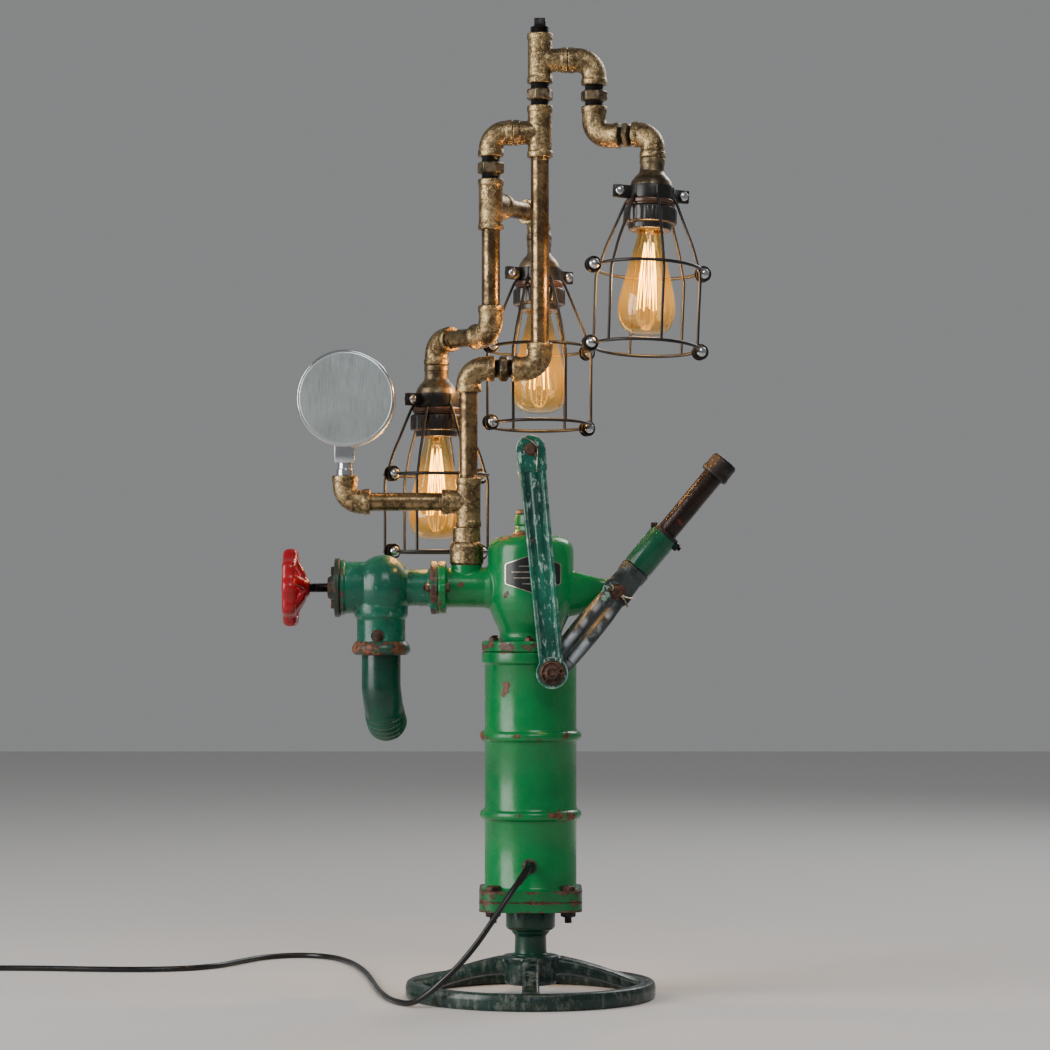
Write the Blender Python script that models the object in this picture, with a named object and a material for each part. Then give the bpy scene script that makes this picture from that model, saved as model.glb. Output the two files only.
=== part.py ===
"""A cast hand lift pump made into a table lamp, with its pipe-fitting tree, caged lamps, gauge and cord.

Metres, +Z up. X runs towards the pump handle, +Y to the back. Sizes below are measured from the pump's
own axis at floor level; one parent empty then puts the middle of the whole lamp at the origin.
"""
import math

import bmesh
import bpy
from mathutils import Matrix, Vector

# ---- where the pump's axis stands in the part's frame
PUMP_X = 0.0233
PUMP_Y = -0.0007

# ---- clearances
GAP = 0.0003            # between pieces that touch
RUNNING_GAP = 0.0005    # between a shaft and its hole

# ---- facets round a full turn
FACETS_LARGE = 24
FACETS_MEDIUM = 16
FACETS_PIPE = 12
FACETS_SMALL = 10
FACETS_WIRE = 4
HEXAGON = 6

# ---- base
RIM_OUTER = 0.140
RIM_INNER = 0.1215
RIM_HEIGHT = 0.019
BASE_HUB_RADIUS = 0.031
BASE_HUB_BOTTOM = 0.015
BASE_HUB_TOP = 0.047
STEM_TOP = 0.0988
FLANGE_HALF = 0.0574
FLANGE_CORNER = 0.022
FLANGE_SPLIT = 0.110    # height of the gasket line between the two square flanges
FLANGE_TOP = 0.1224

# ---- barrel and head
BARREL_RADIUS = 0.0515
BARREL_BORE = 0.044
BARREL_TOP = 0.3868
BEAD_RADIUS = 0.057
BEAD_HALF = 0.0075
BEAD_HEIGHTS = (0.205, 0.293)
HEAD_RADIUS = 0.0484
HEAD_FLANGE_RADIUS = 0.0548
HEAD_TOP = 0.530
ROD_RADIUS = 0.0056
PISTON_BOTTOM = 0.232
PISTON_TOP = 0.262
CORD_HOLE_HEIGHT = 0.150

# ---- lift linkage, in the pump's X-Z plane
CROSSHEAD = Vector((0.0, 0.0, 0.611))
LINK_FOOT = Vector((0.0235, 0.0, 0.3646))
LEVER_ANGLE = math.radians(50.4)
LEVER_AXIS = Vector((math.cos(LEVER_ANGLE), 0.0, math.sin(LEVER_ANGLE)))
FULCRUM = LINK_FOOT + 0.116 * LEVER_AXIS
HANDLE_END = 0.308      # from the link's foot to the handle's end, along the lever
SLEEVE_START = 0.151
SLEEVE_END = 0.204
CAP_START = 0.286
FORK_PLANE = 0.060      # middle of each fork arm, in front of and behind the pump's axis
LINK_PLANE = 0.0691
LINK_HALF = 0.0046      # half of a link's thickness
FULCRUM_PIN_RADIUS = 0.006
CROSS_PIN_RADIUS = 0.005
LINK_TOP_HOLE = 0.0066  # wide, because the linkage is left open here
LINK_FOOT_PIN = 0.007
FOOT_BOSS = 0.0174
FOOT_HALF = 0.0042       # half of the fork boss's thickness
FOOT_PIN_LENGTH = 0.0212

# ---- outlet, valve and spout
OUTLET_HEIGHT = 0.4588
OUTLET_RADIUS = 0.0224
OUTLET_FACE = 0.1036    # distance of the bolted joint from the pump's axis
OUTLET_FLANGE_RADIUS = 0.0298
VALVE_CENTRE = 0.168
BONNET_FACE = 0.2140
VALVE_STEM_RADIUS = 0.0056
WHEEL_HUB_START = 0.2484
WHEEL_RIM_DISTANCE = 0.2695
WHEEL_RADIUS = 0.0384
WHEEL_RIM_HALF = 0.0055
WHEEL_LOBES = 10
WHEEL_SPOKES = 5
LEG_RADIUS = 0.0273
LEG_BOTTOM = 0.3833
SPOUT_RADIUS = 0.0219
SPOUT_BORE = 0.0175
SPOUT_BEND_START = 0.348
SPOUT_BEND_RADIUS = 0.045
SPOUT_BEND_ANGLE = math.radians(70)

# ---- pipe tree: half-inch pipe and malleable fittings
PIPE_RADIUS = 0.0103
FITTING_BODY = 0.0128
FITTING_RIM = 0.0145
RIM_LENGTH = 0.006
NIPPLE_RADIUS = 0.0092
NIPPLE_HEX = 0.0150
REACH = 0.0285          # from a fitting's centre to its rim
RISER_X = -0.070
MAIN_X = 0.0105
RISER_TEE_HEIGHT = 0.5555
OFFSET_HEIGHT = 0.7054
LEFT_TEE_HEIGHT = 0.972
TOP_TEE_HEIGHT = 1.054
RIGHT_X = 0.0716
RIGHT_LOW_HEIGHT = 0.9676
LAMP_1_CORNER = Vector((0.1376, -0.023, RIGHT_LOW_HEIGHT))
LEFT_X = -0.0448
REAR_TEE_HEIGHT = 0.8908
LAMP_2_CORNER = Vector((0.010, 0.090, REAR_TEE_HEIGHT))
DROP_HEIGHT = 0.743
LAMP_3_CORNER = Vector((-0.108, 0.0765, DROP_HEIGHT))

# ---- gauge
GAUGE_CENTRE = Vector((-0.2075, 0.0, 0.671))
GAUGE_RADIUS = 0.0545
GAUGE_BACK = -0.021
GAUGE_RIM = 0.015
GAUGE_FRONT = 0.022
GAUGE_DIAL = -0.004

# ---- lamps, measured down from the rim of the elbow that each hangs from
BELL_RADIUS = 0.0242
BELL_BOTTOM = 0.0320
CLAMP_TOP = 0.0325
CLAMP_BOTTOM = 0.0475
CLAMP_INNER = 0.0214
CLAMP_OUTER = 0.0252
CLAMP_EAR = 0.044
SOCKET_RADIUS = 0.0298
SOCKET_BOTTOM = 0.082
BULB_RADIUS = 0.0322
BULB_WALL = 0.0011
CAGE_MID = 0.1255
CAGE_BOTTOM = 0.214
CAGE_RADIUS = 0.0595
CAGE_WIRE = 0.0017
CAGE_RING_WIRE = 0.0021

# ---- cord
CORD_RADIUS = 0.0033
COIL_INNER = 0.0300
COIL_OUTER = 0.0435

FINISHES = {
    "enamel_green": ((0.010, 0.195, 0.045), 0.28, 0.0),
    "enamel_teal": ((0.012, 0.130, 0.070), 0.35, 0.0),
    "enamel_dark": ((0.010, 0.060, 0.042), 0.45, 0.2),
    "lever_iron": ((0.035, 0.050, 0.048), 0.45, 0.6),
    "cast_base": ((0.015, 0.040, 0.030), 0.50, 0.4),
    "rusty_steel": ((0.075, 0.035, 0.020), 0.55, 0.7),
    "bronze": ((0.190, 0.130, 0.065), 0.42, 0.9),
    "black_steel": ((0.020, 0.020, 0.022), 0.45, 0.8),
    "bright_steel": ((0.500, 0.510, 0.520), 0.28, 1.0),
    "wheel_red": ((0.430, 0.012, 0.018), 0.22, 0.0),
    "bakelite": ((0.018, 0.016, 0.016), 0.35, 0.0),
    "bulb_glass": ((0.950, 0.600, 0.250), 0.05, 0.0),
    "leather": ((0.120, 0.060, 0.030), 0.70, 0.0),
    "rubber": ((0.016, 0.016, 0.017), 0.60, 0.0),
}


# ---------------------------------------------------------------- tools
def clear_scene():
    for item in list(bpy.data.objects):
        bpy.data.objects.remove(item)


def finish_material(finish):
    material = bpy.data.materials.get(finish)
    if material is None:
        colour, roughness, metallic = FINISHES[finish]
        material = bpy.data.materials.new(finish)
        material.use_nodes = True
        shader = material.node_tree.nodes["Principled BSDF"]
        shader.inputs["Base Color"].default_value = (*colour, 1.0)
        shader.inputs["Roughness"].default_value = roughness
        shader.inputs["Metallic"].default_value = metallic
    return material


def turned_towards(point, direction):
    """The placing that takes local +Z to a direction and the local origin to a point."""
    turn = Vector(direction).to_track_quat("Z", "Y").to_matrix().to_4x4()
    return Matrix.Translation(Vector(point)) @ turn


def close_mesh(shape, name):
    bmesh.ops.recalc_face_normals(shape, faces=shape.faces)
    mesh = bpy.data.meshes.new(name)
    shape.to_mesh(mesh)
    shape.free()
    return mesh


def bridge_rings(shape, lower, upper):
    """Faces between two rings of vertices; a ring of one vertex is a point on the axis."""
    count = max(len(lower), len(upper))
    if count == 1:
        return
    for index in range(count):
        following = (index + 1) % count
        corners = [lower[index % len(lower)]]
        if len(lower) > 1:
            corners.append(lower[following])
        if len(upper) > 1:
            corners.append(upper[following])
        corners.append(upper[index % len(upper)])
        shape.faces.new(corners)


def lathe(profile, facets, placing=None, hollow=False):
    """A turned solid about local Z from (radius, height) points; a hollow profile is a closed loop."""
    shape = bmesh.new()
    rings = []
    for radius, height in profile:
        if radius < 1e-6:
            rings.append([shape.verts.new((0.0, 0.0, height))])
            continue
        ring = []
        for index in range(facets):
            angle = math.tau * index / facets
            ring.append(shape.verts.new((radius * math.cos(angle), radius * math.sin(angle), height)))
        rings.append(ring)
    for lower, upper in zip(rings, rings[1:]):
        bridge_rings(shape, lower, upper)
    if hollow:
        bridge_rings(shape, rings[-1], rings[0])
    mesh = close_mesh(shape, "lathe")
    if placing is not None:
        mesh.transform(placing)
    return mesh


def circle(facets):
    return [(math.cos(math.tau * k / facets), math.sin(math.tau * k / facets)) for k in range(facets)]


def rounded_box(corner=0.35):
    """A unit square outline with cut corners."""
    return [(1.0, corner), (corner, 1.0), (-corner, 1.0), (-1.0, corner),
            (-1.0, -corner), (-corner, -1.0), (corner, -1.0), (1.0, -corner)]


def sweep(stations, outline, up, loop=False):
    """A solid along stations (point, direction, half width along up, half width across)."""
    shape = bmesh.new()
    rings = []
    for point, direction, along_up, across in stations:
        direction = Vector(direction).normalized()
        upward = (Vector(up) - direction * direction.dot(Vector(up))).normalized()
        sideways = direction.cross(upward)
        ring = [shape.verts.new(Vector(point) + upward * (a * along_up) + sideways * (b * across))
                for a, b in outline]
        rings.append(ring)
    for lower, upper in zip(rings, rings[1:]):
        bridge_rings(shape, lower, upper)
    if loop:
        bridge_rings(shape, rings[-1], rings[0])
    else:
        shape.faces.new(rings[0])
        shape.faces.new(rings[-1])
    return close_mesh(shape, "sweep")


def along_points(points, sizes):
    """Stations on a line of points, each facing the mean of its two neighbouring runs."""
    stations = []
    for index, point in enumerate(points):
        before = points[max(index - 1, 0)]
        after = points[min(index + 1, len(points) - 1)]
        along_up, across = sizes[index]
        stations.append((point, after - before, along_up, across))
    return stations


def rod_mesh(start, end, radius, facets):
    length = (Vector(end) - Vector(start)).length
    profile = [(0.0, 0.0), (radius, 0.0), (radius, length), (0.0, length)]
    return lathe(profile, facets, turned_towards(start, Vector(end) - Vector(start)))


def box_mesh(low, high):
    shape = bmesh.new()
    bmesh.ops.create_cube(shape, size=1.0)
    size = Vector(high) - Vector(low)
    middle = (Vector(high) + Vector(low)) / 2
    for corner in shape.verts:
        corner.co = Vector([corner.co[k] * size[k] + middle[k] for k in range(3)])
    return close_mesh(shape, "box")


def plate_mesh(outline, thickness):
    """A flat plate: an outline of points, and the vector through its thickness."""
    shape = bmesh.new()
    near = [shape.verts.new(point) for point in outline]
    far = [shape.verts.new(Vector(point) + Vector(thickness)) for point in outline]
    shape.faces.new(near)
    shape.faces.new(far)
    bridge_rings(shape, near, far)
    return close_mesh(shape, "plate")


def combine(first, second, operation="UNION"):
    """One mesh from two by an exact Boolean."""
    base = bpy.data.objects.new("combine_base", first)
    tool = bpy.data.objects.new("combine_tool", second)
    for item in (base, tool):
        bpy.context.scene.collection.objects.link(item)
    change = base.modifiers.new("combine", "BOOLEAN")
    change.operation = operation
    change.object = tool
    change.solver = "EXACT"
    graph = bpy.context.evaluated_depsgraph_get()
    result = bpy.data.meshes.new_from_object(base.evaluated_get(graph))
    bpy.data.objects.remove(base)
    bpy.data.objects.remove(tool)
    return result


def union(*meshes):
    result = meshes[0]
    for mesh in meshes[1:]:
        result = combine(result, mesh)
    return result


def cut(mesh, *tools):
    result = mesh
    for tool in tools:
        result = combine(result, tool, "DIFFERENCE")
    return result


def add_piece(name, mesh, finish, origin=(0.0, 0.0, 0.0), parent=None):
    """One named sub-part. Its mesh comes in the pump's frame and its origin goes to the given point."""
    piece = bpy.data.objects.new(name, mesh.copy())
    piece.data.name = name
    piece.data.transform(Matrix.Translation(-Vector(origin)))
    piece.location = origin
    if parent is not None:
        piece.parent = parent
        piece.matrix_parent_inverse = Matrix.Translation(-parent.location)
    piece.data.materials.clear()
    piece.data.materials.append(finish_material(finish))
    piece.data.shade_smooth()
    piece.data.set_sharp_from_angle(angle=math.radians(35))
    bpy.context.scene.collection.objects.link(piece)
    return piece


def add_pivot(name, location):
    pivot = bpy.data.objects.new(name, None)
    pivot.location = location
    pivot.empty_display_size = 0.02
    bpy.context.scene.collection.objects.link(pivot)
    return pivot


# ---------------------------------------------------------------- base and barrel
def make_base():
    rim = lathe([(RIM_OUTER - 0.004, 0.0), (RIM_OUTER, 0.005), (RIM_OUTER, 0.013),
                 (RIM_OUTER - 0.005, RIM_HEIGHT),
                 (RIM_INNER + 0.004, RIM_HEIGHT), (RIM_INNER, 0.014), (RIM_INNER, 0.004),
                 (RIM_INNER + 0.003, 0.0)],
                36, hollow=True)
    hub = lathe([(0.0, BASE_HUB_BOTTOM), (BASE_HUB_RADIUS - 0.003, BASE_HUB_BOTTOM),
                 (BASE_HUB_RADIUS, BASE_HUB_BOTTOM + 0.004), (BASE_HUB_RADIUS, BASE_HUB_TOP - 0.003),
                 (BASE_HUB_RADIUS - 0.003, BASE_HUB_TOP), (0.0, BASE_HUB_TOP)], FACETS_MEDIUM)
    pieces = [rim, hub]
    for quarter in range(4):
        angle = math.pi / 2 * quarter
        outward = Vector((math.cos(angle), math.sin(angle), 0.0))
        points = [outward * reach + Vector((0, 0, height))
                  for reach, height in ((0.024, 0.036), (0.045, 0.034), (0.075, 0.027), (0.105, 0.016),
                                        (0.126, 0.0105))]
        sizes = [(0.0100, 0.0125), (0.0085, 0.0115), (0.0070, 0.0100), (0.0065, 0.0100), (0.0060, 0.0110)]
        pieces.append(sweep(along_points(points, sizes), circle(HEXAGON), (0, 0, 1)))
    add_piece("base_handwheel", union(*pieces), "cast_base")
    low = BASE_HUB_TOP + GAP
    add_piece("base_stem", lathe([(0.0, low), (0.0177, low), (0.0177, 0.070), (0.0215, 0.0735),
                                  (0.0275, 0.0765),
                                  (0.0275, STEM_TOP), (0.0, STEM_TOP)], FACETS_MEDIUM), "cast_base")


def square_flange(bottom, top):
    """A square plate with round corners."""
    inner = FLANGE_HALF - FLANGE_CORNER
    outline = []
    for corner, (sx, sy) in enumerate(((1, 1), (-1, 1), (-1, -1), (1, -1))):
        for step in range(5):
            angle = math.pi / 2 * (corner + step / 4)
            outline.append((sx * inner + FLANGE_CORNER * math.cos(angle),
                            sy * inner + FLANGE_CORNER * math.sin(angle), bottom))
    return plate_mesh(outline, (0, 0, top - bottom))


def make_barrel():
    add_piece("bottom_flange", square_flange(STEM_TOP + GAP, FLANGE_SPLIT), "enamel_green")

    tube_bottom = FLANGE_SPLIT + 0.002
    profile = [(BARREL_RADIUS, BARREL_TOP - 0.0128), (BARREL_RADIUS + 0.0033, BARREL_TOP - 0.011),
               (BARREL_RADIUS + 0.0033, BARREL_TOP), (BARREL_BORE, BARREL_TOP), (BARREL_BORE, tube_bottom),
               (BARREL_RADIUS, tube_bottom)]
    for height in BEAD_HEIGHTS:
        for share, rise in ((-1.0, 0.0), (-0.6, 0.75), (0.0, 1.0), (0.6, 0.75), (1.0, 0.0)):
            profile.append((BARREL_RADIUS + rise * (BEAD_RADIUS - BARREL_RADIUS),
                            height + share * BEAD_HALF))
    tube = lathe(profile, FACETS_LARGE, hollow=True)
    bore = rod_mesh((0, 0, 0.09), (0, 0, 0.14), BARREL_BORE + 0.0035, FACETS_LARGE)
    flange = cut(square_flange(FLANGE_SPLIT + GAP, FLANGE_TOP), bore)
    barrel = union(tube, flange)
    hole = rod_mesh((-0.0016, -0.060, CORD_HOLE_HEIGHT), (-0.0016, -0.038, CORD_HOLE_HEIGHT), 0.0050,
                    FACETS_SMALL)
    add_piece("pump_cylinder", cut(barrel, hole), "enamel_green")


def make_head():
    bottom = BARREL_TOP + GAP
    pot = lathe([(HEAD_FLANGE_RADIUS, bottom), (HEAD_FLANGE_RADIUS, 0.3992), (0.036, 0.4005), (0.032, 0.404),
                 (0.0335, 0.409), (0.0385, 0.421), (0.0450, 0.435), (HEAD_RADIUS, 0.447),
                 (HEAD_RADIUS, 0.502),
                 (0.0465, 0.509), (0.040, 0.5145), (0.030, 0.517), (0.018, 0.518), (0.018, HEAD_TOP),
                 (ROD_RADIUS + RUNNING_GAP, HEAD_TOP), (ROD_RADIUS + RUNNING_GAP, 0.512), (0.036, 0.509),
                 (0.0424, 0.500), (0.0424, 0.447), (0.032, 0.424), (0.026, 0.408), (0.026, bottom)],
                FACETS_LARGE, hollow=True)
    bracket = sweep([((0.0425, 0, 0.452), (1, 0, 0), 0.0260, 0.0190),
                     ((0.060, 0, 0.4525), (1, 0, 0), 0.0215, 0.0130),
                     ((0.077, 0, 0.4535), (1, 0, 0), 0.0165, 0.0068),
                     ((FULCRUM.x, 0, FULCRUM.z), (1, 0, 0), 0.0128, 0.0068)],
                    circle(FACETS_PIPE), (0, 0, 1))
    eye = rod_mesh(FULCRUM - Vector((0, 0.0075, 0)), FULCRUM + Vector((0, 0.0075, 0)), 0.014, FACETS_PIPE)
    outlet = lathe([(0.0, 0.0), (OUTLET_RADIUS, 0.0), (OUTLET_RADIUS, OUTLET_FACE - 0.0095 - 0.0435),
                    (OUTLET_FLANGE_RADIUS, OUTLET_FACE - 0.0085 - 0.0435),
                    (OUTLET_FLANGE_RADIUS, OUTLET_FACE - 0.0435),
                    (0.0, OUTLET_FACE - 0.0435)], FACETS_MEDIUM,
                   turned_towards((-0.0435, 0, OUTLET_HEIGHT), (-1, 0, 0)))
    boss = rod_mesh((RISER_X - 0.002, 0, OUTLET_HEIGHT), (RISER_X - 0.002, 0, 0.4855), 0.0168, FACETS_PIPE)
    solid = union(pot, bracket, eye, outlet, boss)
    pin_hole = rod_mesh(FULCRUM - Vector((0, 0.02, 0)), FULCRUM + Vector((0, 0.02, 0)),
                        FULCRUM_PIN_RADIUS + RUNNING_GAP, FACETS_PIPE)
    add_piece("pump_head", cut(solid, pin_hole), "enamel_green")

    gland = lathe([(0.0170, HEAD_TOP + GAP), (0.0170, 0.5375), (0.0150, 0.5465),
                   (ROD_RADIUS + RUNNING_GAP, 0.5465),
                   (ROD_RADIUS + RUNNING_GAP, HEAD_TOP + GAP)], FACETS_SMALL, hollow=True)
    add_piece("gland_nut", gland, "rusty_steel", (0, 0, HEAD_TOP))


# ---------------------------------------------------------------- lift linkage
def make_rod():
    rod = rod_mesh((0, 0, PISTON_TOP + GAP), CROSSHEAD, ROD_RADIUS, FACETS_PIPE)
    head = rod_mesh(CROSSHEAD - Vector((0, 0.014, 0)), CROSSHEAD + Vector((0, 0.014, 0)), 0.0115,
                    FACETS_PIPE)
    hole = rod_mesh(CROSSHEAD - Vector((0, 0.02, 0)), CROSSHEAD + Vector((0, 0.02, 0)),
                    CROSS_PIN_RADIUS + RUNNING_GAP, FACETS_SMALL)
    add_piece("piston_rod", cut(union(rod, head), hole), "rusty_steel", CROSSHEAD)
    add_piece("crosshead_pin", rod_mesh(CROSSHEAD - Vector((0, 0.0785, 0)),
                                        CROSSHEAD + Vector((0, 0.0785, 0)),
                                        CROSS_PIN_RADIUS, FACETS_SMALL), "rusty_steel", CROSSHEAD)
    radius = BARREL_BORE - 0.0006
    add_piece("piston", lathe([(0.0, PISTON_BOTTOM + 0.006), (radius - 0.006, PISTON_BOTTOM + 0.006),
                               (radius - 0.003, PISTON_BOTTOM), (radius, PISTON_BOTTOM),
                               (radius, PISTON_TOP - 0.008),
                               (radius - 0.004, PISTON_TOP), (0.0, PISTON_TOP)], FACETS_MEDIUM),
              "leather", (0, 0, PISTON_TOP))


def on_lever(distance, depth):
    """A point on the lever's centre line, measured from the link's foot, at a depth in front or behind."""
    return LINK_FOOT + LEVER_AXIS * distance + Vector((0, depth, 0))


def make_lever(pivot):
    pieces = []
    socket_start = 0.116 + 0.0185
    for side in (-1, 1):
        cheek = rod_mesh(FULCRUM + Vector((0, side * 0.0082, 0)), FULCRUM + Vector((0, side * 0.0155, 0)),
                         0.0172, FACETS_PIPE)
        strap = sweep([(on_lever(0.116, side * 0.01185), LEVER_AXIS, 0.0034, 0.0145),
                       (on_lever(socket_start + 0.006, side * 0.01185), LEVER_AXIS, 0.0034, 0.0140)],
                      rounded_box(), (0, 1, 0))
        points = [on_lever(distance, side * depth) for distance, depth in
                  ((0.122, 0.0118), (0.102, 0.0121), (0.082, 0.0260), (0.062, 0.0440), (0.045, 0.0555),
                   (0.022, FORK_PLANE), (0.000, FORK_PLANE))]
        sizes = [(0.0036, 0.0130), (0.0038, 0.0140), (0.0045, 0.0140), (0.0045, 0.0138), (0.0045, 0.0135),
                 (0.0044, 0.0135), (0.0041, 0.0130)]
        arm = sweep(along_points(points, sizes), rounded_box(), (0, 1, 0))
        foot = lathe([(0.0, 0.0), (FOOT_BOSS, 0.0), (FOOT_BOSS, FOOT_HALF * 2),
                      (LINK_FOOT_PIN, FOOT_HALF * 2),
                      (LINK_FOOT_PIN, FOOT_PIN_LENGTH), (0.0, FOOT_PIN_LENGTH)], FACETS_PIPE,
                     turned_towards(LINK_FOOT + Vector((0, side * (FORK_PLANE - FOOT_HALF), 0)),
                                    (0, side, 0)))
        pieces += [cheek, strap, arm, foot]
    socket = lathe([(0.0, 0.0), (0.0135, 0.0), (0.0158, 0.003), (0.0158, SLEEVE_START - GAP - socket_start),
                    (0.0, SLEEVE_START - GAP - socket_start)], FACETS_PIPE,
                   turned_towards(on_lever(socket_start, 0), LEVER_AXIS))
    solid = union(socket, *pieces)
    hole = rod_mesh(FULCRUM - Vector((0, 0.03, 0)), FULCRUM + Vector((0, 0.03, 0)),
                    FULCRUM_PIN_RADIUS + RUNNING_GAP, FACETS_PIPE)
    add_piece("lever_arm", cut(solid, hole), "lever_iron", FULCRUM, pivot)

    sleeve = lathe([(0.0168, SLEEVE_START), (0.0168, SLEEVE_END - 0.002), (0.0155, SLEEVE_END),
                    (0.0124, SLEEVE_END),
                    (0.0124, SLEEVE_START)], FACETS_PIPE, turned_towards(LINK_FOOT, LEVER_AXIS), hollow=True)
    add_piece("handle_sleeve", sleeve, "enamel_green", FULCRUM, pivot)
    add_piece("handle_pipe", rod_mesh(on_lever(SLEEVE_START, 0), on_lever(HANDLE_END - 0.004 - GAP, 0),
                                      0.0119, FACETS_PIPE), "rusty_steel", FULCRUM, pivot)
    cap = lathe([(0.0, HANDLE_END), (0.0140, HANDLE_END), (0.0160, HANDLE_END - 0.002), (0.0160, CAP_START),
                 (0.0124, CAP_START), (0.0124, HANDLE_END - 0.004), (0.0, HANDLE_END - 0.004)],
                FACETS_PIPE, turned_towards(LINK_FOOT, LEVER_AXIS))
    add_piece("handle_cap", cap, "rusty_steel", FULCRUM, pivot)
    add_piece("fulcrum_pin", lathe([(0.0, -0.0220), (0.0095, -0.0220), (0.0095, -0.0180),
                                    (FULCRUM_PIN_RADIUS, -0.0180),
                                    (FULCRUM_PIN_RADIUS, 0.0215), (0.0, 0.0215)], FACETS_PIPE,
                                   turned_towards(FULCRUM, (0, -1, 0))), "rusty_steel", FULCRUM)


def link_outline(depth):
    """The link's outline: a round end on each pin and straight sides between them."""
    along = (CROSSHEAD - LINK_FOOT).normalized()
    across = Vector((along.z, 0.0, -along.x))
    outline = []
    for centre, radius, half_width, facing in ((LINK_FOOT, 0.0174, 0.0138, -1),
                                               (CROSSHEAD, 0.0162, 0.0150, 1)):
        spread = math.pi - math.asin(half_width / radius)
        for step in range(13):
            angle = facing * spread * (1 - step / 6)
            outline.append(centre + Vector((0, depth, 0)) + along * (facing * radius * math.cos(angle))
                           + across * (radius * math.sin(angle)))
    return outline


def make_links():
    for name, side in (("link_front", -1), ("link_back", 1)):
        near = side * LINK_PLANE - LINK_HALF
        cutters = []
        for centre, radius in ((CROSSHEAD, LINK_TOP_HOLE), (LINK_FOOT, LINK_FOOT_PIN + RUNNING_GAP)):
            start = centre + Vector((0, near - 0.004, 0))
            cutters.append(rod_mesh(start, start + Vector((0, 2 * LINK_HALF + 0.008, 0)), radius,
                                    FACETS_PIPE))
        bar = plate_mesh(link_outline(near), (0, 2 * LINK_HALF, 0))
        add_piece(name, cut(bar, *cutters), "enamel_dark", LINK_FOOT)


# ---------------------------------------------------------------- outlet valve and spout
def make_valve_body():
    along = turned_towards((0, 0, OUTLET_HEIGHT), (-1, 0, 0))
    start = OUTLET_FACE + GAP
    body = lathe([(OUTLET_FLANGE_RADIUS, start), (OUTLET_FLANGE_RADIUS, start + 0.0085),
                  (0.0206, start + 0.0095),
                  (0.0206, 0.1409), (0.0300, 0.1490), (0.0360, 0.1590), (0.0370, VALVE_CENTRE),
                  (0.0352, 0.1800),
                  (0.0295, 0.1900), (0.0295, BONNET_FACE - GAP), (0.0240, BONNET_FACE - GAP),
                  (0.0240, 0.1920),
                  (0.0290, 0.1800), (0.0300, VALVE_CENTRE), (0.0280, 0.1600), (0.0240, 0.1510),
                  (0.0140, 0.1490),
                  (0.0140, start)], FACETS_MEDIUM, along, hollow=True)
    leg = lathe([(0.0, LEG_BOTTOM), (0.0300, LEG_BOTTOM), (0.0327, LEG_BOTTOM + 0.005),
                 (0.0327, LEG_BOTTOM + 0.0105),
                 (0.0290, 0.3975), (LEG_RADIUS, 0.4000), (LEG_RADIUS, 0.4370), (0.0, 0.4370)], FACETS_MEDIUM,
                Matrix.Translation((-VALVE_CENTRE, 0, 0)))
    passage = rod_mesh((-VALVE_CENTRE, 0, 0.370), (-VALVE_CENTRE, 0, 0.4475), 0.0185, FACETS_PIPE)
    add_piece("valve_body", cut(union(body, leg), passage), "enamel_teal", (-VALVE_CENTRE, 0, OUTLET_HEIGHT))

    bonnet = lathe([(0.0330, BONNET_FACE), (0.0330, BONNET_FACE + 0.006), (0.0150, BONNET_FACE + 0.0075),
                    (0.0120, BONNET_FACE + 0.0140), (VALVE_STEM_RADIUS + RUNNING_GAP, BONNET_FACE + 0.0140),
                    (VALVE_STEM_RADIUS + RUNNING_GAP, 0.1960), (0.0232, 0.1960), (0.0232, BONNET_FACE)],
                   FACETS_MEDIUM, along, hollow=True)
    add_piece("valve_bonnet", bonnet, "enamel_teal", (-BONNET_FACE, 0, OUTLET_HEIGHT))


def make_spout():
    stations = []
    top = LEG_BOTTOM - GAP
    for height in (top, SPOUT_BEND_START):
        stations.append((Vector((-VALVE_CENTRE, 0, height)), Vector((0, 0, -1))))
    steps = 5
    for step in range(1, steps + 1):
        angle = SPOUT_BEND_ANGLE * step / steps
        point = Vector((-VALVE_CENTRE + 0.006 * step / steps, SPOUT_BEND_RADIUS * (1 - math.cos(angle)),
                        SPOUT_BEND_START - SPOUT_BEND_RADIUS * math.sin(angle)))
        stations.append((point, Vector((0, math.sin(angle), -math.cos(angle)))))
    outer = [(point, direction, SPOUT_RADIUS, SPOUT_RADIUS) for point, direction in stations]
    inner = [(point, direction, SPOUT_BORE, SPOUT_BORE) for point, direction in reversed(stations)]
    shell = sweep_pair(outer, inner)
    add_piece("spout", shell, "enamel_teal", (-VALVE_CENTRE, 0, top))


def sweep_pair(outer, inner):
    """A bent tube: down the outside, round its end, back up the bore and round the other end."""
    shape = bmesh.new()
    rings = []
    for point, direction, size, _ in outer + inner:
        upward = Vector((1, 0, 0))
        sideways = direction.normalized().cross(upward)
        rings.append([shape.verts.new(point + upward * (a * size) + sideways * (b * size))
                      for a, b in circle(FACETS_MEDIUM)])
    for lower, upper in zip(rings, rings[1:]):
        bridge_rings(shape, lower, upper)
    bridge_rings(shape, rings[-1], rings[0])
    return close_mesh(shape, "tube")


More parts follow.
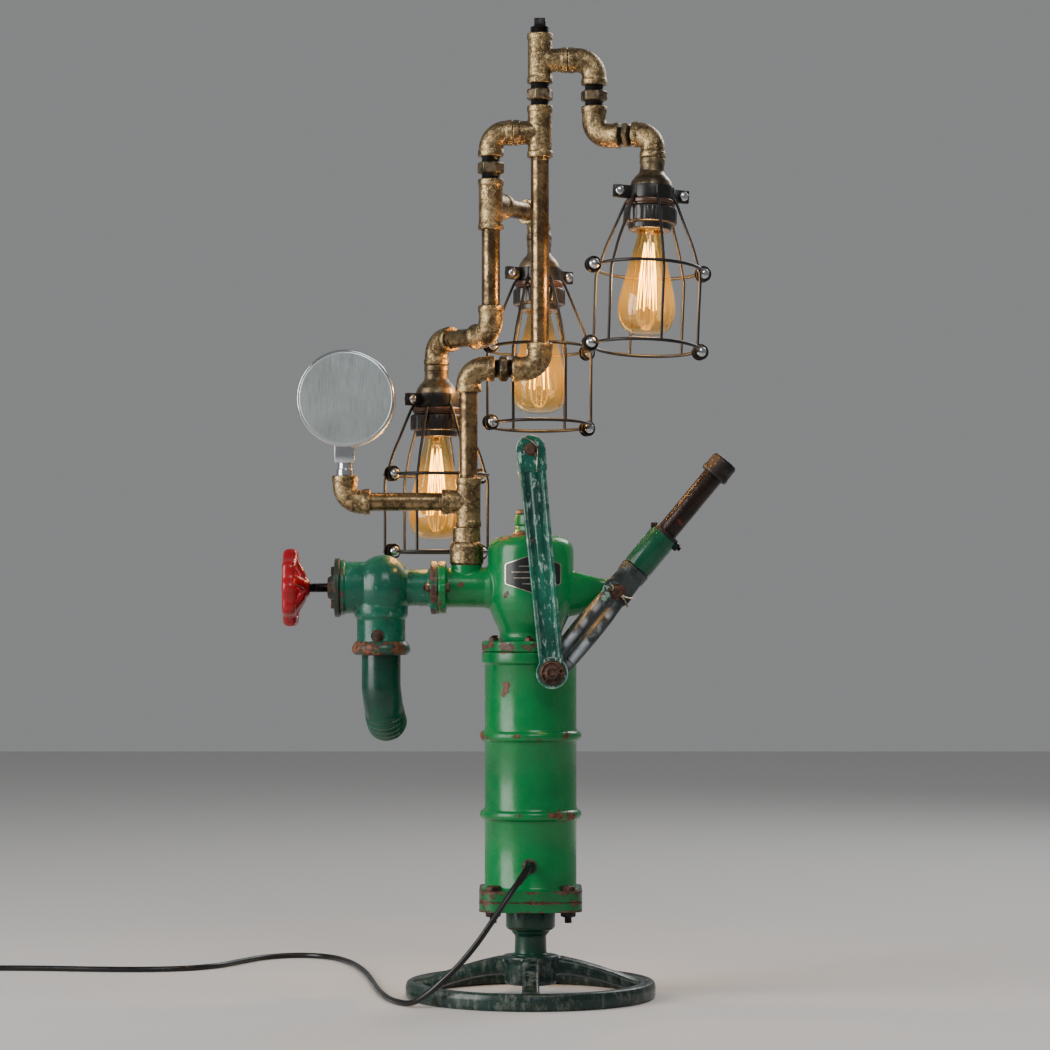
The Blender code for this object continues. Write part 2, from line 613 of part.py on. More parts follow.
def make_valve_works(pivot):
    along = turned_towards((0, 0, OUTLET_HEIGHT), (-1, 0, 0))
    disc_face = VALVE_CENTRE - 0.001
    add_piece("valve_disc", lathe([(0.0, disc_face - 0.006), (0.0170, disc_face - 0.006),
                                   (0.0170, disc_face - 0.001),
                                   (0.0120, disc_face), (0.0, disc_face)], FACETS_SMALL, along),
              "bronze", pivot.location, pivot)
    add_piece("valve_stem", rod_mesh((-disc_face - GAP, 0, OUTLET_HEIGHT),
                                     (-WHEEL_HUB_START + GAP, 0, OUTLET_HEIGHT),
                                     VALVE_STEM_RADIUS, FACETS_SMALL), "black_steel", pivot.location, pivot)

    hub = lathe([(0.0, WHEEL_HUB_START), (0.0075, WHEEL_HUB_START), (0.0120, WHEEL_HUB_START + 0.006),
                 (0.0120, WHEEL_HUB_START + 0.018), (0.0, WHEEL_HUB_START + 0.018)], FACETS_SMALL, along)
    facets = WHEEL_LOBES * 3
    stations = []
    for index in range(facets):
        angle = math.tau * index / facets
        radius = WHEEL_RADIUS - 0.0017 * math.cos(WHEEL_LOBES * angle)
        centre = Vector((-WHEEL_RIM_DISTANCE, radius * math.cos(angle),
                         OUTLET_HEIGHT + radius * math.sin(angle)))
        tangent = Vector((0, -math.sin(angle), math.cos(angle)))
        stations.append((centre, tangent, 0.0080, WHEEL_RIM_HALF))
    rim = sweep(stations, circle(HEXAGON), (1, 0, 0), loop=True)
    spokes = []
    for index in range(WHEEL_SPOKES):
        angle = math.tau * (index + 0.25) / WHEEL_SPOKES
        outward = Vector((0, math.cos(angle), math.sin(angle)))
        points = [Vector((-distance, 0, OUTLET_HEIGHT)) + outward * radius
                  for distance, radius in ((0.2580, 0.008), (0.2610, 0.020), (0.2680, 0.0375))]
        spokes.append(sweep(along_points(points, [(0.0035, 0.0050), (0.0032, 0.0045), (0.0030, 0.0055)]),
                            circle(HEXAGON), (1, 0, 0)))
    add_piece("valve_wheel", union(rim, hub, *spokes), "wheel_red", pivot.location, pivot)


# ---------------------------------------------------------------- pipe fittings
def rim_stations(start, direction, body):
    """A fitting's banded end, from its face inwards."""
    return [(start, direction, FITTING_RIM, FITTING_RIM),
            (start + direction * RIM_LENGTH, direction, FITTING_RIM, FITTING_RIM),
            (start + direction * (RIM_LENGTH + 0.0012), direction, body, body)]


def elbow_mesh(inlet, corner, outlet):
    """A malleable elbow with banded ends, through three points."""
    inward = (corner - inlet).normalized()
    outward = (outlet - corner).normalized()
    turn = inward.angle(outward)
    bend = 0.0175
    lead = bend * math.tan(turn / 2)
    normal = inward.cross(outward).normalized()
    hinge = corner - inward * lead + normal.cross(inward) * bend
    stations = rim_stations(inlet, inward, FITTING_BODY)
    steps = 4
    for step in range(steps + 1):
        turned = Matrix.Rotation(turn * step / steps, 3, normal)
        point = hinge + turned @ (corner - inward * lead - hinge)
        stations.append((point, turned @ inward, FITTING_BODY, FITTING_BODY))
    for point, direction, along, across in reversed(rim_stations(outlet, -outward, FITTING_BODY)):
        stations.append((point, -direction, along, across))
    return sweep(stations, circle(FACETS_PIPE), normal)


def run_mesh(start, end, body=FITTING_BODY):
    """The straight run of a tee, banded at both ends."""
    direction = (end - start).normalized()
    stations = rim_stations(start, direction, body)
    for point, facing, along, across in reversed(rim_stations(end, -direction, body)):
        stations.append((point, -facing, along, across))
    up = Vector((0, 1, 0)) if abs(direction.y) < 0.5 else Vector((0, 0, 1))
    return sweep(stations, circle(FACETS_PIPE), up)


def tee_mesh(bottom, top, centre, branch):
    direction = (branch - centre).normalized()
    stations = list(rim_stations(branch, -direction, FITTING_BODY - 0.0002))
    stations.append((centre, -direction, FITTING_BODY - 0.0006, FITTING_BODY - 0.0006))
    return union(run_mesh(bottom, top), sweep(stations, circle(FACETS_PIPE), (0, 0, 1)))


def nipple_mesh(start, end):
    """A hexagon nipple with its threads hidden in the fittings at both ends."""
    direction = (end - start).normalized()
    length = (end - start).length
    placing = turned_towards(start, direction)
    neck = min(0.0055, length * 0.22)
    return lathe([(0.0, 0.0), (NIPPLE_RADIUS, 0.0), (NIPPLE_RADIUS, neck),
                  (NIPPLE_HEX - 0.0015, neck + 0.0002),
                  (NIPPLE_HEX, neck + 0.0015), (NIPPLE_HEX, length - neck - 0.0015),
                  (NIPPLE_HEX - 0.0015, length - neck - 0.0002), (NIPPLE_RADIUS, length - neck),
                  (NIPPLE_RADIUS, length), (0.0, length)], HEXAGON, placing)


def joined_nipple(start, end, bite=0.0008):
    """A nipple that reaches a little into the fitting it is made in one piece with, at its far end."""
    direction = (end - start).normalized()
    return nipple_mesh(start, end + direction * bite)


def make_riser():
    base = Vector((RISER_X - 0.002, 0, 0))
    add_piece("riser_reducer", lathe([(0.0, 0.4858), (0.0183, 0.4858), (0.0183, 0.5060), (0.0160, 0.5088),
                                      (0.0132, 0.5092), (0.0132, 0.5260), (0.0, 0.5260)], FACETS_PIPE,
                                     Matrix.Translation(base)), "bronze", base + Vector((0, 0, 0.4858)))
    centre = Vector((RISER_X, 0, RISER_TEE_HEIGHT))
    branch_end = Vector((-0.0997, 0, RISER_TEE_HEIGHT))
    add_piece("riser_tee", tee_mesh(Vector((RISER_X, 0, 0.5263)), Vector((RISER_X, 0, 0.5825)), centre,
                                    branch_end),
              "bronze", centre)
    corner = Vector((GAUGE_CENTRE.x - 0.0015, 0, RISER_TEE_HEIGHT))
    pipe_arm("gauge_arm", branch_end - Vector((GAP, 0, 0)), corner, Vector((-1, 0, 0)), Vector((0, 0, 1)),
             0.0293)
    add_piece("riser_pipe", rod_mesh((RISER_X, 0, 0.5828), (RISER_X, 0, 0.6785), PIPE_RADIUS, FACETS_PIPE),
              "bronze", centre)

    low_corner = Vector((RISER_X, 0, OFFSET_HEIGHT))
    low_rim = Vector((-0.0405, 0, OFFSET_HEIGHT))
    high_rim = Vector((-0.0203, 0, OFFSET_HEIGHT))
    elbow = elbow_mesh(Vector((RISER_X, 0, 0.6788)), low_corner, low_rim)
    nipple = joined_nipple(high_rim - Vector((GAP, 0, 0)), low_rim)
    add_piece("offset_elbow_low", union(elbow, nipple), "bronze", low_corner)
    high_corner = Vector((MAIN_X, 0, OFFSET_HEIGHT))
    add_piece("offset_elbow_high", elbow_mesh(high_rim, high_corner, high_corner + Vector((0, 0, 0.0290))),
              "bronze", high_corner)
    add_piece("main_pipe", rod_mesh((MAIN_X, 0, OFFSET_HEIGHT + 0.0293),
                                    (MAIN_X, 0, LEFT_TEE_HEIGHT - REACH - GAP),
                                    PIPE_RADIUS, FACETS_PIPE), "bronze", high_corner)


def make_top():
    left_centre = Vector((MAIN_X, 0, LEFT_TEE_HEIGHT))
    left_top = left_centre + Vector((0, 0, 0.0305))
    add_piece("left_tee", tee_mesh(left_centre - Vector((0, 0, REACH)), left_top, left_centre,
                                   left_centre - Vector((0.0305, 0, 0))), "bronze", left_centre)
    top_centre = Vector((MAIN_X, 0, TOP_TEE_HEIGHT))
    top_bottom = top_centre - Vector((0, 0, 0.0265))
    top_end = top_centre + Vector((0, 0, 0.0303))
    tee = tee_mesh(top_bottom, top_end, top_centre, top_centre + Vector((0.0315, 0, 0)))
    add_piece("top_tee", union(tee, joined_nipple(left_top + Vector((0, 0, GAP)), top_bottom)), "bronze",
              top_centre)
    collar_bottom = top_end + Vector((0, 0, GAP))
    collar = lathe([(0.0, 0.0), (0.0107, 0.0), (0.0107, 0.0070), (0.0, 0.0070)], FACETS_PIPE,
                   Matrix.Translation(collar_bottom))
    square = box_mesh(collar_bottom + Vector((-0.0065, -0.0065, 0.004)),
                      collar_bottom + Vector((0.0065, 0.0065, 0.0168)))
    add_piece("top_plug", union(collar, square), "black_steel", collar_bottom)


def make_right_branch(lamp_axis):
    start = Vector((MAIN_X + 0.0318, 0, TOP_TEE_HEIGHT))
    corner = Vector((RIGHT_X, 0, TOP_TEE_HEIGHT))
    add_piece("right_elbow_high", elbow_mesh(start, corner, corner - Vector((0, 0, REACH))), "bronze",
              corner)
    low_corner = Vector((RIGHT_X, 0, RIGHT_LOW_HEIGHT))
    low_top = low_corner + Vector((0, 0, 0.0340))
    aim = (LAMP_1_CORNER - low_corner).normalized()
    elbow = elbow_mesh(low_top, low_corner, low_corner + aim * 0.0315)
    nipple = joined_nipple(corner - Vector((0, 0, REACH + GAP)), low_top)
    add_piece("right_elbow_low", union(elbow, nipple), "bronze", low_corner)
    nipple_start = low_corner + aim * (0.0315 + GAP)
    elbow_start = LAMP_1_CORNER - aim * 0.0235
    elbow = elbow_mesh(elbow_start, LAMP_1_CORNER, LAMP_1_CORNER + lamp_axis * REACH)
    add_piece("lamp_elbow_1", union(elbow, joined_nipple(nipple_start, elbow_start)), "bronze",
              LAMP_1_CORNER)


def make_left_branch():
    start = Vector((MAIN_X - 0.0308, 0, LEFT_TEE_HEIGHT))
    corner = Vector((LEFT_X, 0, LEFT_TEE_HEIGHT))
    rim = corner - Vector((0, 0, 0.0272))
    add_piece("left_elbow", elbow_mesh(start, corner, rim), "bronze", corner)
    centre = Vector((LEFT_X, 0, REAR_TEE_HEIGHT))
    tee_top = centre + Vector((0, 0, 0.0286))
    towards = (LAMP_2_CORNER - centre).normalized()
    tee = tee_mesh(centre - Vector((0, 0, 0.0288)), tee_top, centre, centre + towards * 0.030)
    add_piece("rear_tee", union(tee, joined_nipple(rim - Vector((0, 0, GAP)), tee_top)), "bronze", centre)
    add_piece("drop_pipe", rod_mesh((LEFT_X, 0, 0.7766), centre - Vector((0, 0, 0.0291)), PIPE_RADIUS,
                                    FACETS_PIPE),
              "bronze", centre)
    return centre, towards


def pipe_arm(name, start, corner, towards, outlet_axis, reach):
    """A pipe and the elbow screwed on its end, which holds a lamp or the gauge."""
    elbow_start = corner - towards * REACH
    pipe = rod_mesh(start, elbow_start + towards * 0.001, PIPE_RADIUS, FACETS_PIPE)
    elbow = elbow_mesh(elbow_start, corner, corner + outlet_axis * reach)
    add_piece(name, union(elbow, pipe), "bronze", corner)


def make_gauge():
    facing = turned_towards(GAUGE_CENTRE, (0, 1, 0))
    case = lathe([(0.0, GAUGE_BACK), (GAUGE_RADIUS - 0.0035, GAUGE_BACK),
                  (GAUGE_RADIUS - 0.001, GAUGE_BACK + 0.001),
                  (GAUGE_RADIUS, GAUGE_BACK + 0.004), (GAUGE_RADIUS, GAUGE_RIM),
                  (GAUGE_RADIUS - 0.004, GAUGE_RIM),
                  (GAUGE_RADIUS - 0.004, GAUGE_DIAL), (0.0, GAUGE_DIAL)], FACETS_LARGE, facing)
    socket_x = GAUGE_CENTRE.x - 0.0015
    stem = lathe([(0.0, 0.5851), (0.0092, 0.5851), (0.0092, 0.6000), (0.0, 0.6000)], FACETS_PIPE,
                 Matrix.Translation((socket_x, 0, 0)))
    block = box_mesh((socket_x - 0.0115, -0.0115, 0.5990), (socket_x + 0.0115, 0.0115, 0.6215))
    add_piece("gauge_case", union(case, block, stem), "bright_steel", GAUGE_CENTRE)
    bezel = lathe([(GAUGE_RADIUS, GAUGE_RIM + GAP), (GAUGE_RADIUS, GAUGE_FRONT - 0.003),
                   (GAUGE_RADIUS - 0.003, GAUGE_FRONT), (GAUGE_RADIUS - 0.0085, GAUGE_FRONT - 0.002),
                   (GAUGE_RADIUS - 0.0085, GAUGE_RIM + GAP)], FACETS_LARGE, facing, hollow=True)
    add_piece("gauge_bezel", bezel, "bright_steel", GAUGE_CENTRE)
    needle = sweep([(GAUGE_CENTRE + Vector((-0.010, 0.003, 0.010)), Vector((1, 0, -1)), 0.0006, 0.0016),
                    (GAUGE_CENTRE + Vector((0.027, 0.003, -0.027)), Vector((1, 0, -1)), 0.0006, 0.0006)],
                   rounded_box(), (0, 1, 0))
    boss = rod_mesh(GAUGE_CENTRE + Vector((0, GAUGE_DIAL + GAP, 0)), GAUGE_CENTRE + Vector((0, 0.006, 0)),
                    0.0042, FACETS_SMALL)
    add_piece("gauge_pointer", union(boss, needle), "black_steel", GAUGE_CENTRE)


# ---------------------------------------------------------------- lamps
def holder_mesh():
    """Brass bell and black socket, down from the elbow's rim; the bulb's cap sits in the blind hole."""
    return lathe([(0.0, 0.0), (0.0140, 0.0), (0.0140, -0.0150), (0.0155, -0.0175), (0.0195, -0.0220),
                  (0.0228, -0.0270),
                  (BELL_RADIUS, -BELL_BOTTOM), (CLAMP_INNER - 0.0006, -BELL_BOTTOM),
                  (CLAMP_INNER - 0.0006, -0.0480),
                  (0.0275, -0.0482), (0.0275, -0.0570), (SOCKET_RADIUS, -0.0575), (SOCKET_RADIUS, -0.0745),
                  (0.0240, -0.0750), (0.0240, -SOCKET_BOTTOM), (0.0142, -SOCKET_BOTTOM), (0.0142, -0.0540),
                  (0.0, -0.0540)], FACETS_MEDIUM)


def bulb_mesh():
    """A pear-shaped glass envelope with its screw cap; the cap's end is left open."""
    outline = [(0.0130, 0.0543), (0.0135, 0.0820), (0.0180, 0.1050), (0.0260, 0.1370),
               (BULB_RADIUS, 0.1700), (0.0300, 0.1830), (0.0215, 0.1945), (0.0, 0.2000)]
    outer = [(radius, -depth) for radius, depth in outline]
    inner = [(max(radius - BULB_WALL, 0.0),
              -(depth - (BULB_WALL if radius < 0.0315 and depth > 0.175 else 0.0)))
             for radius, depth in reversed(outline)]
    return lathe(outer + inner, FACETS_PIPE, hollow=True)


def arc_stations(radius, height, first, last, steps, wire):
    stations = []
    for step in range(steps + 1):
        angle = first + (last - first) * step / steps
        point = Vector((radius * math.cos(angle), radius * math.sin(angle), height))
        tangent = Vector((-math.sin(angle), math.cos(angle), 0))
        stations.append((point, tangent, wire, wire))
    return stations


def cage_half():
    """Half of a lamp guard: clamp, three wires and two half rings, with bolting ears on the split."""
    pieces = []
    clamp_angle = math.asin(0.0007 / CLAMP_OUTER)
    height = (CLAMP_BOTTOM - CLAMP_TOP) / 2
    middle = (CLAMP_INNER + CLAMP_OUTER) / 2
    clamp = sweep([(point, tangent, height, (CLAMP_OUTER - CLAMP_INNER) / 2) for point, tangent, _, _ in
                   arc_stations(middle, -(CLAMP_TOP + CLAMP_BOTTOM) / 2, clamp_angle, math.pi - clamp_angle,
                                12, 0)],
                  [(1, 1), (-1, 1), (-1, -1), (1, -1)], (0, 0, 1))
    pieces.append(clamp)
    for depth in (CAGE_MID, CAGE_BOTTOM):
        start = math.asin(0.0012 / CAGE_RADIUS)
        ring = sweep(arc_stations(CAGE_RADIUS, -depth, start, math.pi - start, 11, CAGE_RING_WIRE),
                     circle(FACETS_WIRE), (0, 0, 1))
        pieces.append(ring)
    for angle in (math.radians(30), math.radians(90), math.radians(150)):
        outward = Vector((math.cos(angle), math.sin(angle), 0))
        points = [outward * radius + Vector((0, 0, -depth)) for radius, depth in
                  ((middle, 0.0385), (0.0300, 0.0440), (0.0445, 0.0780), (CAGE_RADIUS - 0.0016, CAGE_MID),
                   (CAGE_RADIUS, CAGE_BOTTOM))]
        pieces.append(sweep(along_points(points, [(CAGE_WIRE, CAGE_WIRE)] * len(points)),
                            circle(FACETS_WIRE),
                            Vector((0, 0, 1)).cross(outward)))
    for side in (-1, 1):
        for inner, outer, top, bottom, thick in (
                (CLAMP_OUTER - 0.0020, CLAMP_EAR, CLAMP_TOP + 0.0006, CLAMP_BOTTOM - 0.0006, 0.0030),
                (CAGE_RADIUS - 0.0030, CAGE_RADIUS + 0.0085, CAGE_MID - 0.0045, CAGE_MID + 0.0045, 0.0026),
                (CAGE_RADIUS - 0.0030, CAGE_RADIUS + 0.0085, CAGE_BOTTOM - 0.0045, CAGE_BOTTOM + 0.0045,
                 0.0026)):
            edges = sorted((side * inner, side * outer))
            pieces.append(box_mesh((edges[0], GAP / 2, -bottom), (edges[1], thick, -top)))
    return union(*pieces)


def make_lamp(number, rim_centre, axis, split_angle, holder, bulb, half):
    """Lamp parts hung below an elbow's rim along an axis; the split angle turns the guard about it."""
    placing = turned_towards(rim_centre, -axis)
    across = placing.to_3x3() @ Vector((1, 0, 0))
    wanted = Vector((math.cos(split_angle), math.sin(split_angle), 0))
    level = Vector((across.x, across.y, 0)).normalized()
    swing = math.atan2(level.cross(wanted).z, level.dot(wanted))
    turned = placing @ Matrix.Rotation(swing, 4, "Z")
    parts = ((f"lamp_holder_{number}", holder, "bakelite"), (f"bulb_{number}", bulb, "bulb_glass"))
    for name, mesh, finish in parts:
        own = mesh.copy()
        own.transform(turned @ Matrix.Translation((0, 0, -GAP)))
        add_piece(name, own, finish, rim_centre)
    cage = half.copy()
    cage.transform(turned @ Matrix.Translation((0, 0, -GAP)))
    other = half.copy()
    other.transform(turned @ Matrix.Translation((0, 0, -GAP)) @ Matrix.Rotation(math.pi, 4, "Z"))
    add_piece(f"cage_{number}_back", cage, "black_steel", rim_centre)
    add_piece(f"cage_{number}_front", other, "black_steel", rim_centre)


# ---------------------------------------------------------------- cord
CORD_ROUTE = [
    (-0.0090, -0.0760, 0.1405), (-0.0200, -0.0905, 0.1270), (-0.0370, -0.1030, 0.1020),
    (-0.0580, -0.1105, 0.0720), (-0.0790, -0.1140, 0.0470), (-0.0980, -0.1140, 0.0290),
    (-0.1140, -0.1080, 0.0150), (-0.1300, -0.0960, 0.0050), (-0.1450, -0.0760, 0.0035),
    (-0.1580, -0.0400, 0.0035), (-0.1690, 0.0150, 0.0035), (-0.1780, 0.0800, 0.0035),
    (-0.1880, 0.1600, 0.0035), (-0.2020, 0.2500, 0.0035), (-0.2220, 0.3300, 0.0035),
    (-0.2500, 0.3850, 0.0035), (-0.2900, 0.4020, 0.0035), (-0.3280, 0.3800, 0.0035),
    (-0.3540, 0.3340, 0.0035), (-0.3780, 0.2870, 0.0035), (-0.4150, 0.2560, 0.0035),
    (-0.4650, 0.2450, 0.0035), (-0.5200, 0.2480, 0.0035), (-0.5750, 0.2560, 0.0035),
    (-0.6250, 0.2600, 0.0035), (-0.6700, 0.2580, 0.0035),
]
COIL_CENTRE = (-0.7140, 0.2190)


def smooth_route(points, spacing):
    """Points at an even spacing on a Catmull-Rom curve through a route."""
    route = [Vector(point) for point in points]
    padded = [2 * route[0] - route[1]] + route + [2 * route[-1] - route[-2]]
    fine = []
    for index in range(1, len(padded) - 2):
        before, start, end, after = padded[index - 1:index + 3]
        for step in range(20):
            t = step / 20
            linear = (end - before) * t
            square = (2 * before - 5 * start + 4 * end - after) * t ** 2
            cubic = (3 * start - before - 3 * end + after) * t ** 3
            fine.append(0.5 * (2 * start + linear + square + cubic))
    fine.append(route[-1])
    result = [fine[0]]
    for point in fine[1:-1]:
        if (point - result[-1]).length >= spacing:
            result.append(point)
    if (fine[-1] - result[-1]).length < spacing / 2:
        result.pop()
    result.append(fine[-1])
    return result


def make_cord():
    hole = Vector((-0.0016, -0.0445, CORD_HOLE_HEIGHT))
    route = [hole, Vector((-0.0016, -0.0518, 0.150)), Vector((-0.0016, -0.0520, 0.150)),
             Vector((-0.0016, -0.0545, 0.150)),
             Vector((-0.0020, -0.0555, 0.1499)), Vector((-0.0040, -0.0660, 0.1476)),
             Vector((-0.0089, -0.0757, 0.1407))]
    radii = [0.0046, 0.0046, 0.0068, 0.0068, 0.0056, 0.0048, 0.0042]
    stations = along_points(route, [(radius, radius) for radius in radii])
    stations[0:4] = [(point, Vector((0, -1, 0)), radius, radius) for point,
                     radius in zip(route[:4], radii[:4])]
    stations[-1] = (route[-1], Vector((-0.51, -0.67, -0.54)), radii[-1], radii[-1])
    add_piece("cord_grommet", sweep(stations, circle(FACETS_SMALL), (0, 0, 1)), "rubber", hole)

    path = bpy.data.curves.new("cord_lead", "CURVE")
    path.dimensions = "3D"
    path.bevel_depth = CORD_RADIUS
    path.bevel_resolution = 2
    path.render_resolution_u = 0
    path.use_fill_caps = True
    spline = path.splines.new("POLY")
    points = smooth_route(CORD_ROUTE, 0.0200)
    spline.points.add(len(points) - 1)
    for target, point in zip(spline.points, points):
        target.co = (*point, 1.0)
    path.materials.append(finish_material("rubber"))
    bpy.context.scene.collection.objects.link(bpy.data.objects.new("cord_lead", path))

    low = 0.0002
    high = 2 * CORD_RADIUS
    coil = lathe([(COIL_OUTER, low), (COIL_OUTER, high), (COIL_INNER, high), (COIL_INNER, low)],
                 FACETS_MEDIUM,
                 Matrix.Translation((*COIL_CENTRE, 0)), hollow=True)
    add_piece("cord_coil", coil, "rubber", (*COIL_CENTRE, 0))

    start = Vector((COIL_CENTRE[0] - 0.0365, COIL_CENTRE[1] - 0.0500, 0.0105))
    forward = Vector((0, -1, 0))
    body = sweep([(start, forward, 0.0048, 0.0048), (start + forward * 0.012, forward, 0.0070, 0.0065),
                  (start + forward * 0.030, forward, 0.0100, 0.0090),
                  (start + forward * 0.036, forward, 0.0100, 0.0180),
                  (start + forward * 0.040, forward, 0.0100, 0.0180)], rounded_box(0.5), (0, 0, 1))
    pins = []
    for side in (-1, 1):
        root = start + forward * 0.038 + Vector((side * 0.0095, 0, 0))
        pins.append(rod_mesh(root, root + forward * 0.021, 0.0024, 8))
    add_piece("cord_plug", union(body, *pins), "rubber", start)


# ---------------------------------------------------------------- assembly
def stand_on_frame():
    """Puts the pump's axis in its place in the part's frame by one parent empty."""
    frame = add_pivot("pump_axis", (PUMP_X, PUMP_Y, 0.0))
    for item in list(bpy.data.objects):
        if item.parent is None and item is not frame:
            item.parent = frame


def build():
    clear_scene()
    make_base()
    make_barrel()
    make_head()
    make_rod()
    make_lever(add_pivot("lever_pivot", FULCRUM))
    make_links()
    make_valve_body()
    make_spout()
    make_valve_works(add_pivot("valve_pivot", (-WHEEL_RIM_DISTANCE, 0, OUTLET_HEIGHT)))
    make_riser()
    make_top()
    make_gauge()

    lean_left = math.radians(2.4)
    lean_front = math.radians(5.0)
    down = Vector((0, 0, -1))
    lamp_1_axis = Vector((-math.tan(lean_left), -math.tan(lean_front), -1)).normalized()
    lamp_2_axis = Vector((0, -math.tan(math.radians(3.6)), -1)).normalized()
    make_right_branch(lamp_1_axis)
    rear_centre, towards_2 = make_left_branch()
    pipe_arm("lamp_arm_2", rear_centre + towards_2 * (0.030 + GAP), LAMP_2_CORNER, towards_2, lamp_2_axis,
             0.0315)
    drop_corner = Vector((LEFT_X, 0, DROP_HEIGHT))
    towards_3 = (LAMP_3_CORNER - drop_corner).normalized()
    add_piece("drop_elbow", elbow_mesh(Vector((LEFT_X, 0, 0.7763)), drop_corner,
                                       drop_corner + towards_3 * REACH),
              "bronze", drop_corner)
    pipe_arm("lamp_arm_3", drop_corner + towards_3 * (REACH + GAP), LAMP_3_CORNER, towards_3, down, REACH)

    holder = holder_mesh()
    bulb = bulb_mesh()
    half = cage_half()
    make_lamp(1, LAMP_1_CORNER + lamp_1_axis * REACH, lamp_1_axis, math.radians(15), holder, bulb, half)
    make_lamp(2, LAMP_2_CORNER + lamp_2_axis * 0.0315, lamp_2_axis, math.radians(30), holder, bulb, half)
    make_lamp(3, LAMP_3_CORNER + down * REACH, down, math.radians(40), holder, bulb, half)
    make_cord()
    stand_on_frame()


build()
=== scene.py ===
"""The looks of the pump lamp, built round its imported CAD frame.

Lengths are metres. Shapes are laid out from the pump's own axis at floor level, as the frame's parts are,
and moved to where the frame's barrel stands.
"""
import math

import bmesh
import bpy
from mathutils import Matrix, Vector


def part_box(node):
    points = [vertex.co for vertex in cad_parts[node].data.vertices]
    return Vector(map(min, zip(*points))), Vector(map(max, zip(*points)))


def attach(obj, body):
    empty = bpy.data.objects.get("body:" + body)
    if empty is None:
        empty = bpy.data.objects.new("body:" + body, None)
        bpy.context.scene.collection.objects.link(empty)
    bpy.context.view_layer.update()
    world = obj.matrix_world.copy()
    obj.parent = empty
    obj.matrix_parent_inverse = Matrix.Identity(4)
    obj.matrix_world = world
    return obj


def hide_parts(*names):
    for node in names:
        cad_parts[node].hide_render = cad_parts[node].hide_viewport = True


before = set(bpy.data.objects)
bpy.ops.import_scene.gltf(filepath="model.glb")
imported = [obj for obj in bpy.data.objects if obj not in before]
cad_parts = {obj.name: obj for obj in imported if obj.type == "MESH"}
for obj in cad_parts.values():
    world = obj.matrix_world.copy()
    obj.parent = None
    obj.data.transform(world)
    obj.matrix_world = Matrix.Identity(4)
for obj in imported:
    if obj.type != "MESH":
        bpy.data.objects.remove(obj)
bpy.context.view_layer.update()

# ---- where the frame puts the pump's axis
stem_low, stem_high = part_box("base_stem")
PUMP_AXIS = Vector(((stem_low[0] + stem_high[0]) / 2, (stem_low[1] + stem_high[1]) / 2, 0.0))
UP = Vector((0, 0, 1))


def along_y(distance):
    return Vector((0, distance, 0))


# ---------------------------------------------------------------- driving sizes
# Heights are from the floor, distances from the pump's axis, as in the frame.
RIM_OUTER = 0.140
FLANGE_HALF = 0.0574
FLANGE_CORNER = 0.022
FLANGE_BOTTOM = 0.0991
FLANGE_SPLIT = 0.110
FLANGE_TOP = 0.1224
FLANGE_BOLT = 0.0416
BARREL_RADIUS = 0.0515
BARREL_TOP = 0.3868
BEAD_HEIGHTS = (0.205, 0.293)
HEAD_RADIUS = 0.0484
HEAD_FLANGE_TOP = 0.3992
OUTLET_HEIGHT = 0.4588
OUTLET_FACE = 0.1036
OUTLET_FLANGE_RADIUS = 0.0298
VALVE_CENTRE = 0.168
BONNET_FACE = 0.2140
WHEEL_RIM_DISTANCE = 0.2695
WHEEL_HUB_START = 0.2484
WHEEL_LOBES = 10
LEG_BOTTOM = 0.3833

# lift linkage, in the pump's X-Z plane
CROSSHEAD = Vector((0.0, 0.0, 0.611))
LINK_FOOT = Vector((0.0235, 0.0, 0.3646))
LEVER_ANGLE = math.radians(50.4)
LEVER_AXIS = Vector((math.cos(LEVER_ANGLE), 0.0, math.sin(LEVER_ANGLE)))
FULCRUM = LINK_FOOT + 0.116 * LEVER_AXIS
FORK_PLANE = 0.060           # middle of each fork arm, in front of and behind the axis
LINK_PLANE = 0.0691
LINK_HALF = 0.0046           # half of a link's thickness
FULCRUM_HOLE = 0.0066
LINK_FOOT_HOLE = 0.0075
LINK_TOP_HOLE = 0.0066

# pipe tree
PIPE_RADIUS = 0.0103
FITTING_BODY = 0.0137
FITTING_RIM = 0.0146
THREAD_RADIUS = 0.0106
HEXAGON_RADIUS = 0.0152
REACH = 0.0285               # of most fittings, from the middle to a rim
RISER_X = -0.070
MAIN_X = 0.0105
RISER_TEE_HEIGHT = 0.5555
OFFSET_HEIGHT = 0.7054
LEFT_TEE_HEIGHT = 0.972
TOP_TEE_HEIGHT = 1.054
RIGHT_X = 0.0716
LAMP_1_CORNER = Vector((0.1376, -0.023, 0.9676))
LEFT_X = -0.0448
REAR_TEE_HEIGHT = 0.8908
LAMP_2_CORNER = Vector((0.010, 0.090, REAR_TEE_HEIGHT))
DROP_HEIGHT = 0.743
LAMP_3_CORNER = Vector((-0.108, 0.0765, DROP_HEIGHT))

# gauge and lamps
GAUGE_CENTRE = Vector((-0.2075, 0.0, 0.671))
GAUGE_RADIUS = 0.0545
LAMP_1_LEAN_LEFT = math.radians(2.4)
LAMP_1_LEAN_FRONT = math.radians(5.0)
LAMP_2_LEAN_FRONT = math.radians(3.6)
LAMP_1_AXIS = Vector((-math.tan(LAMP_1_LEAN_LEFT), -math.tan(LAMP_1_LEAN_FRONT), -1)).normalized()
LAMP_2_AXIS = Vector((0, -math.tan(LAMP_2_LEAN_FRONT), -1)).normalized()


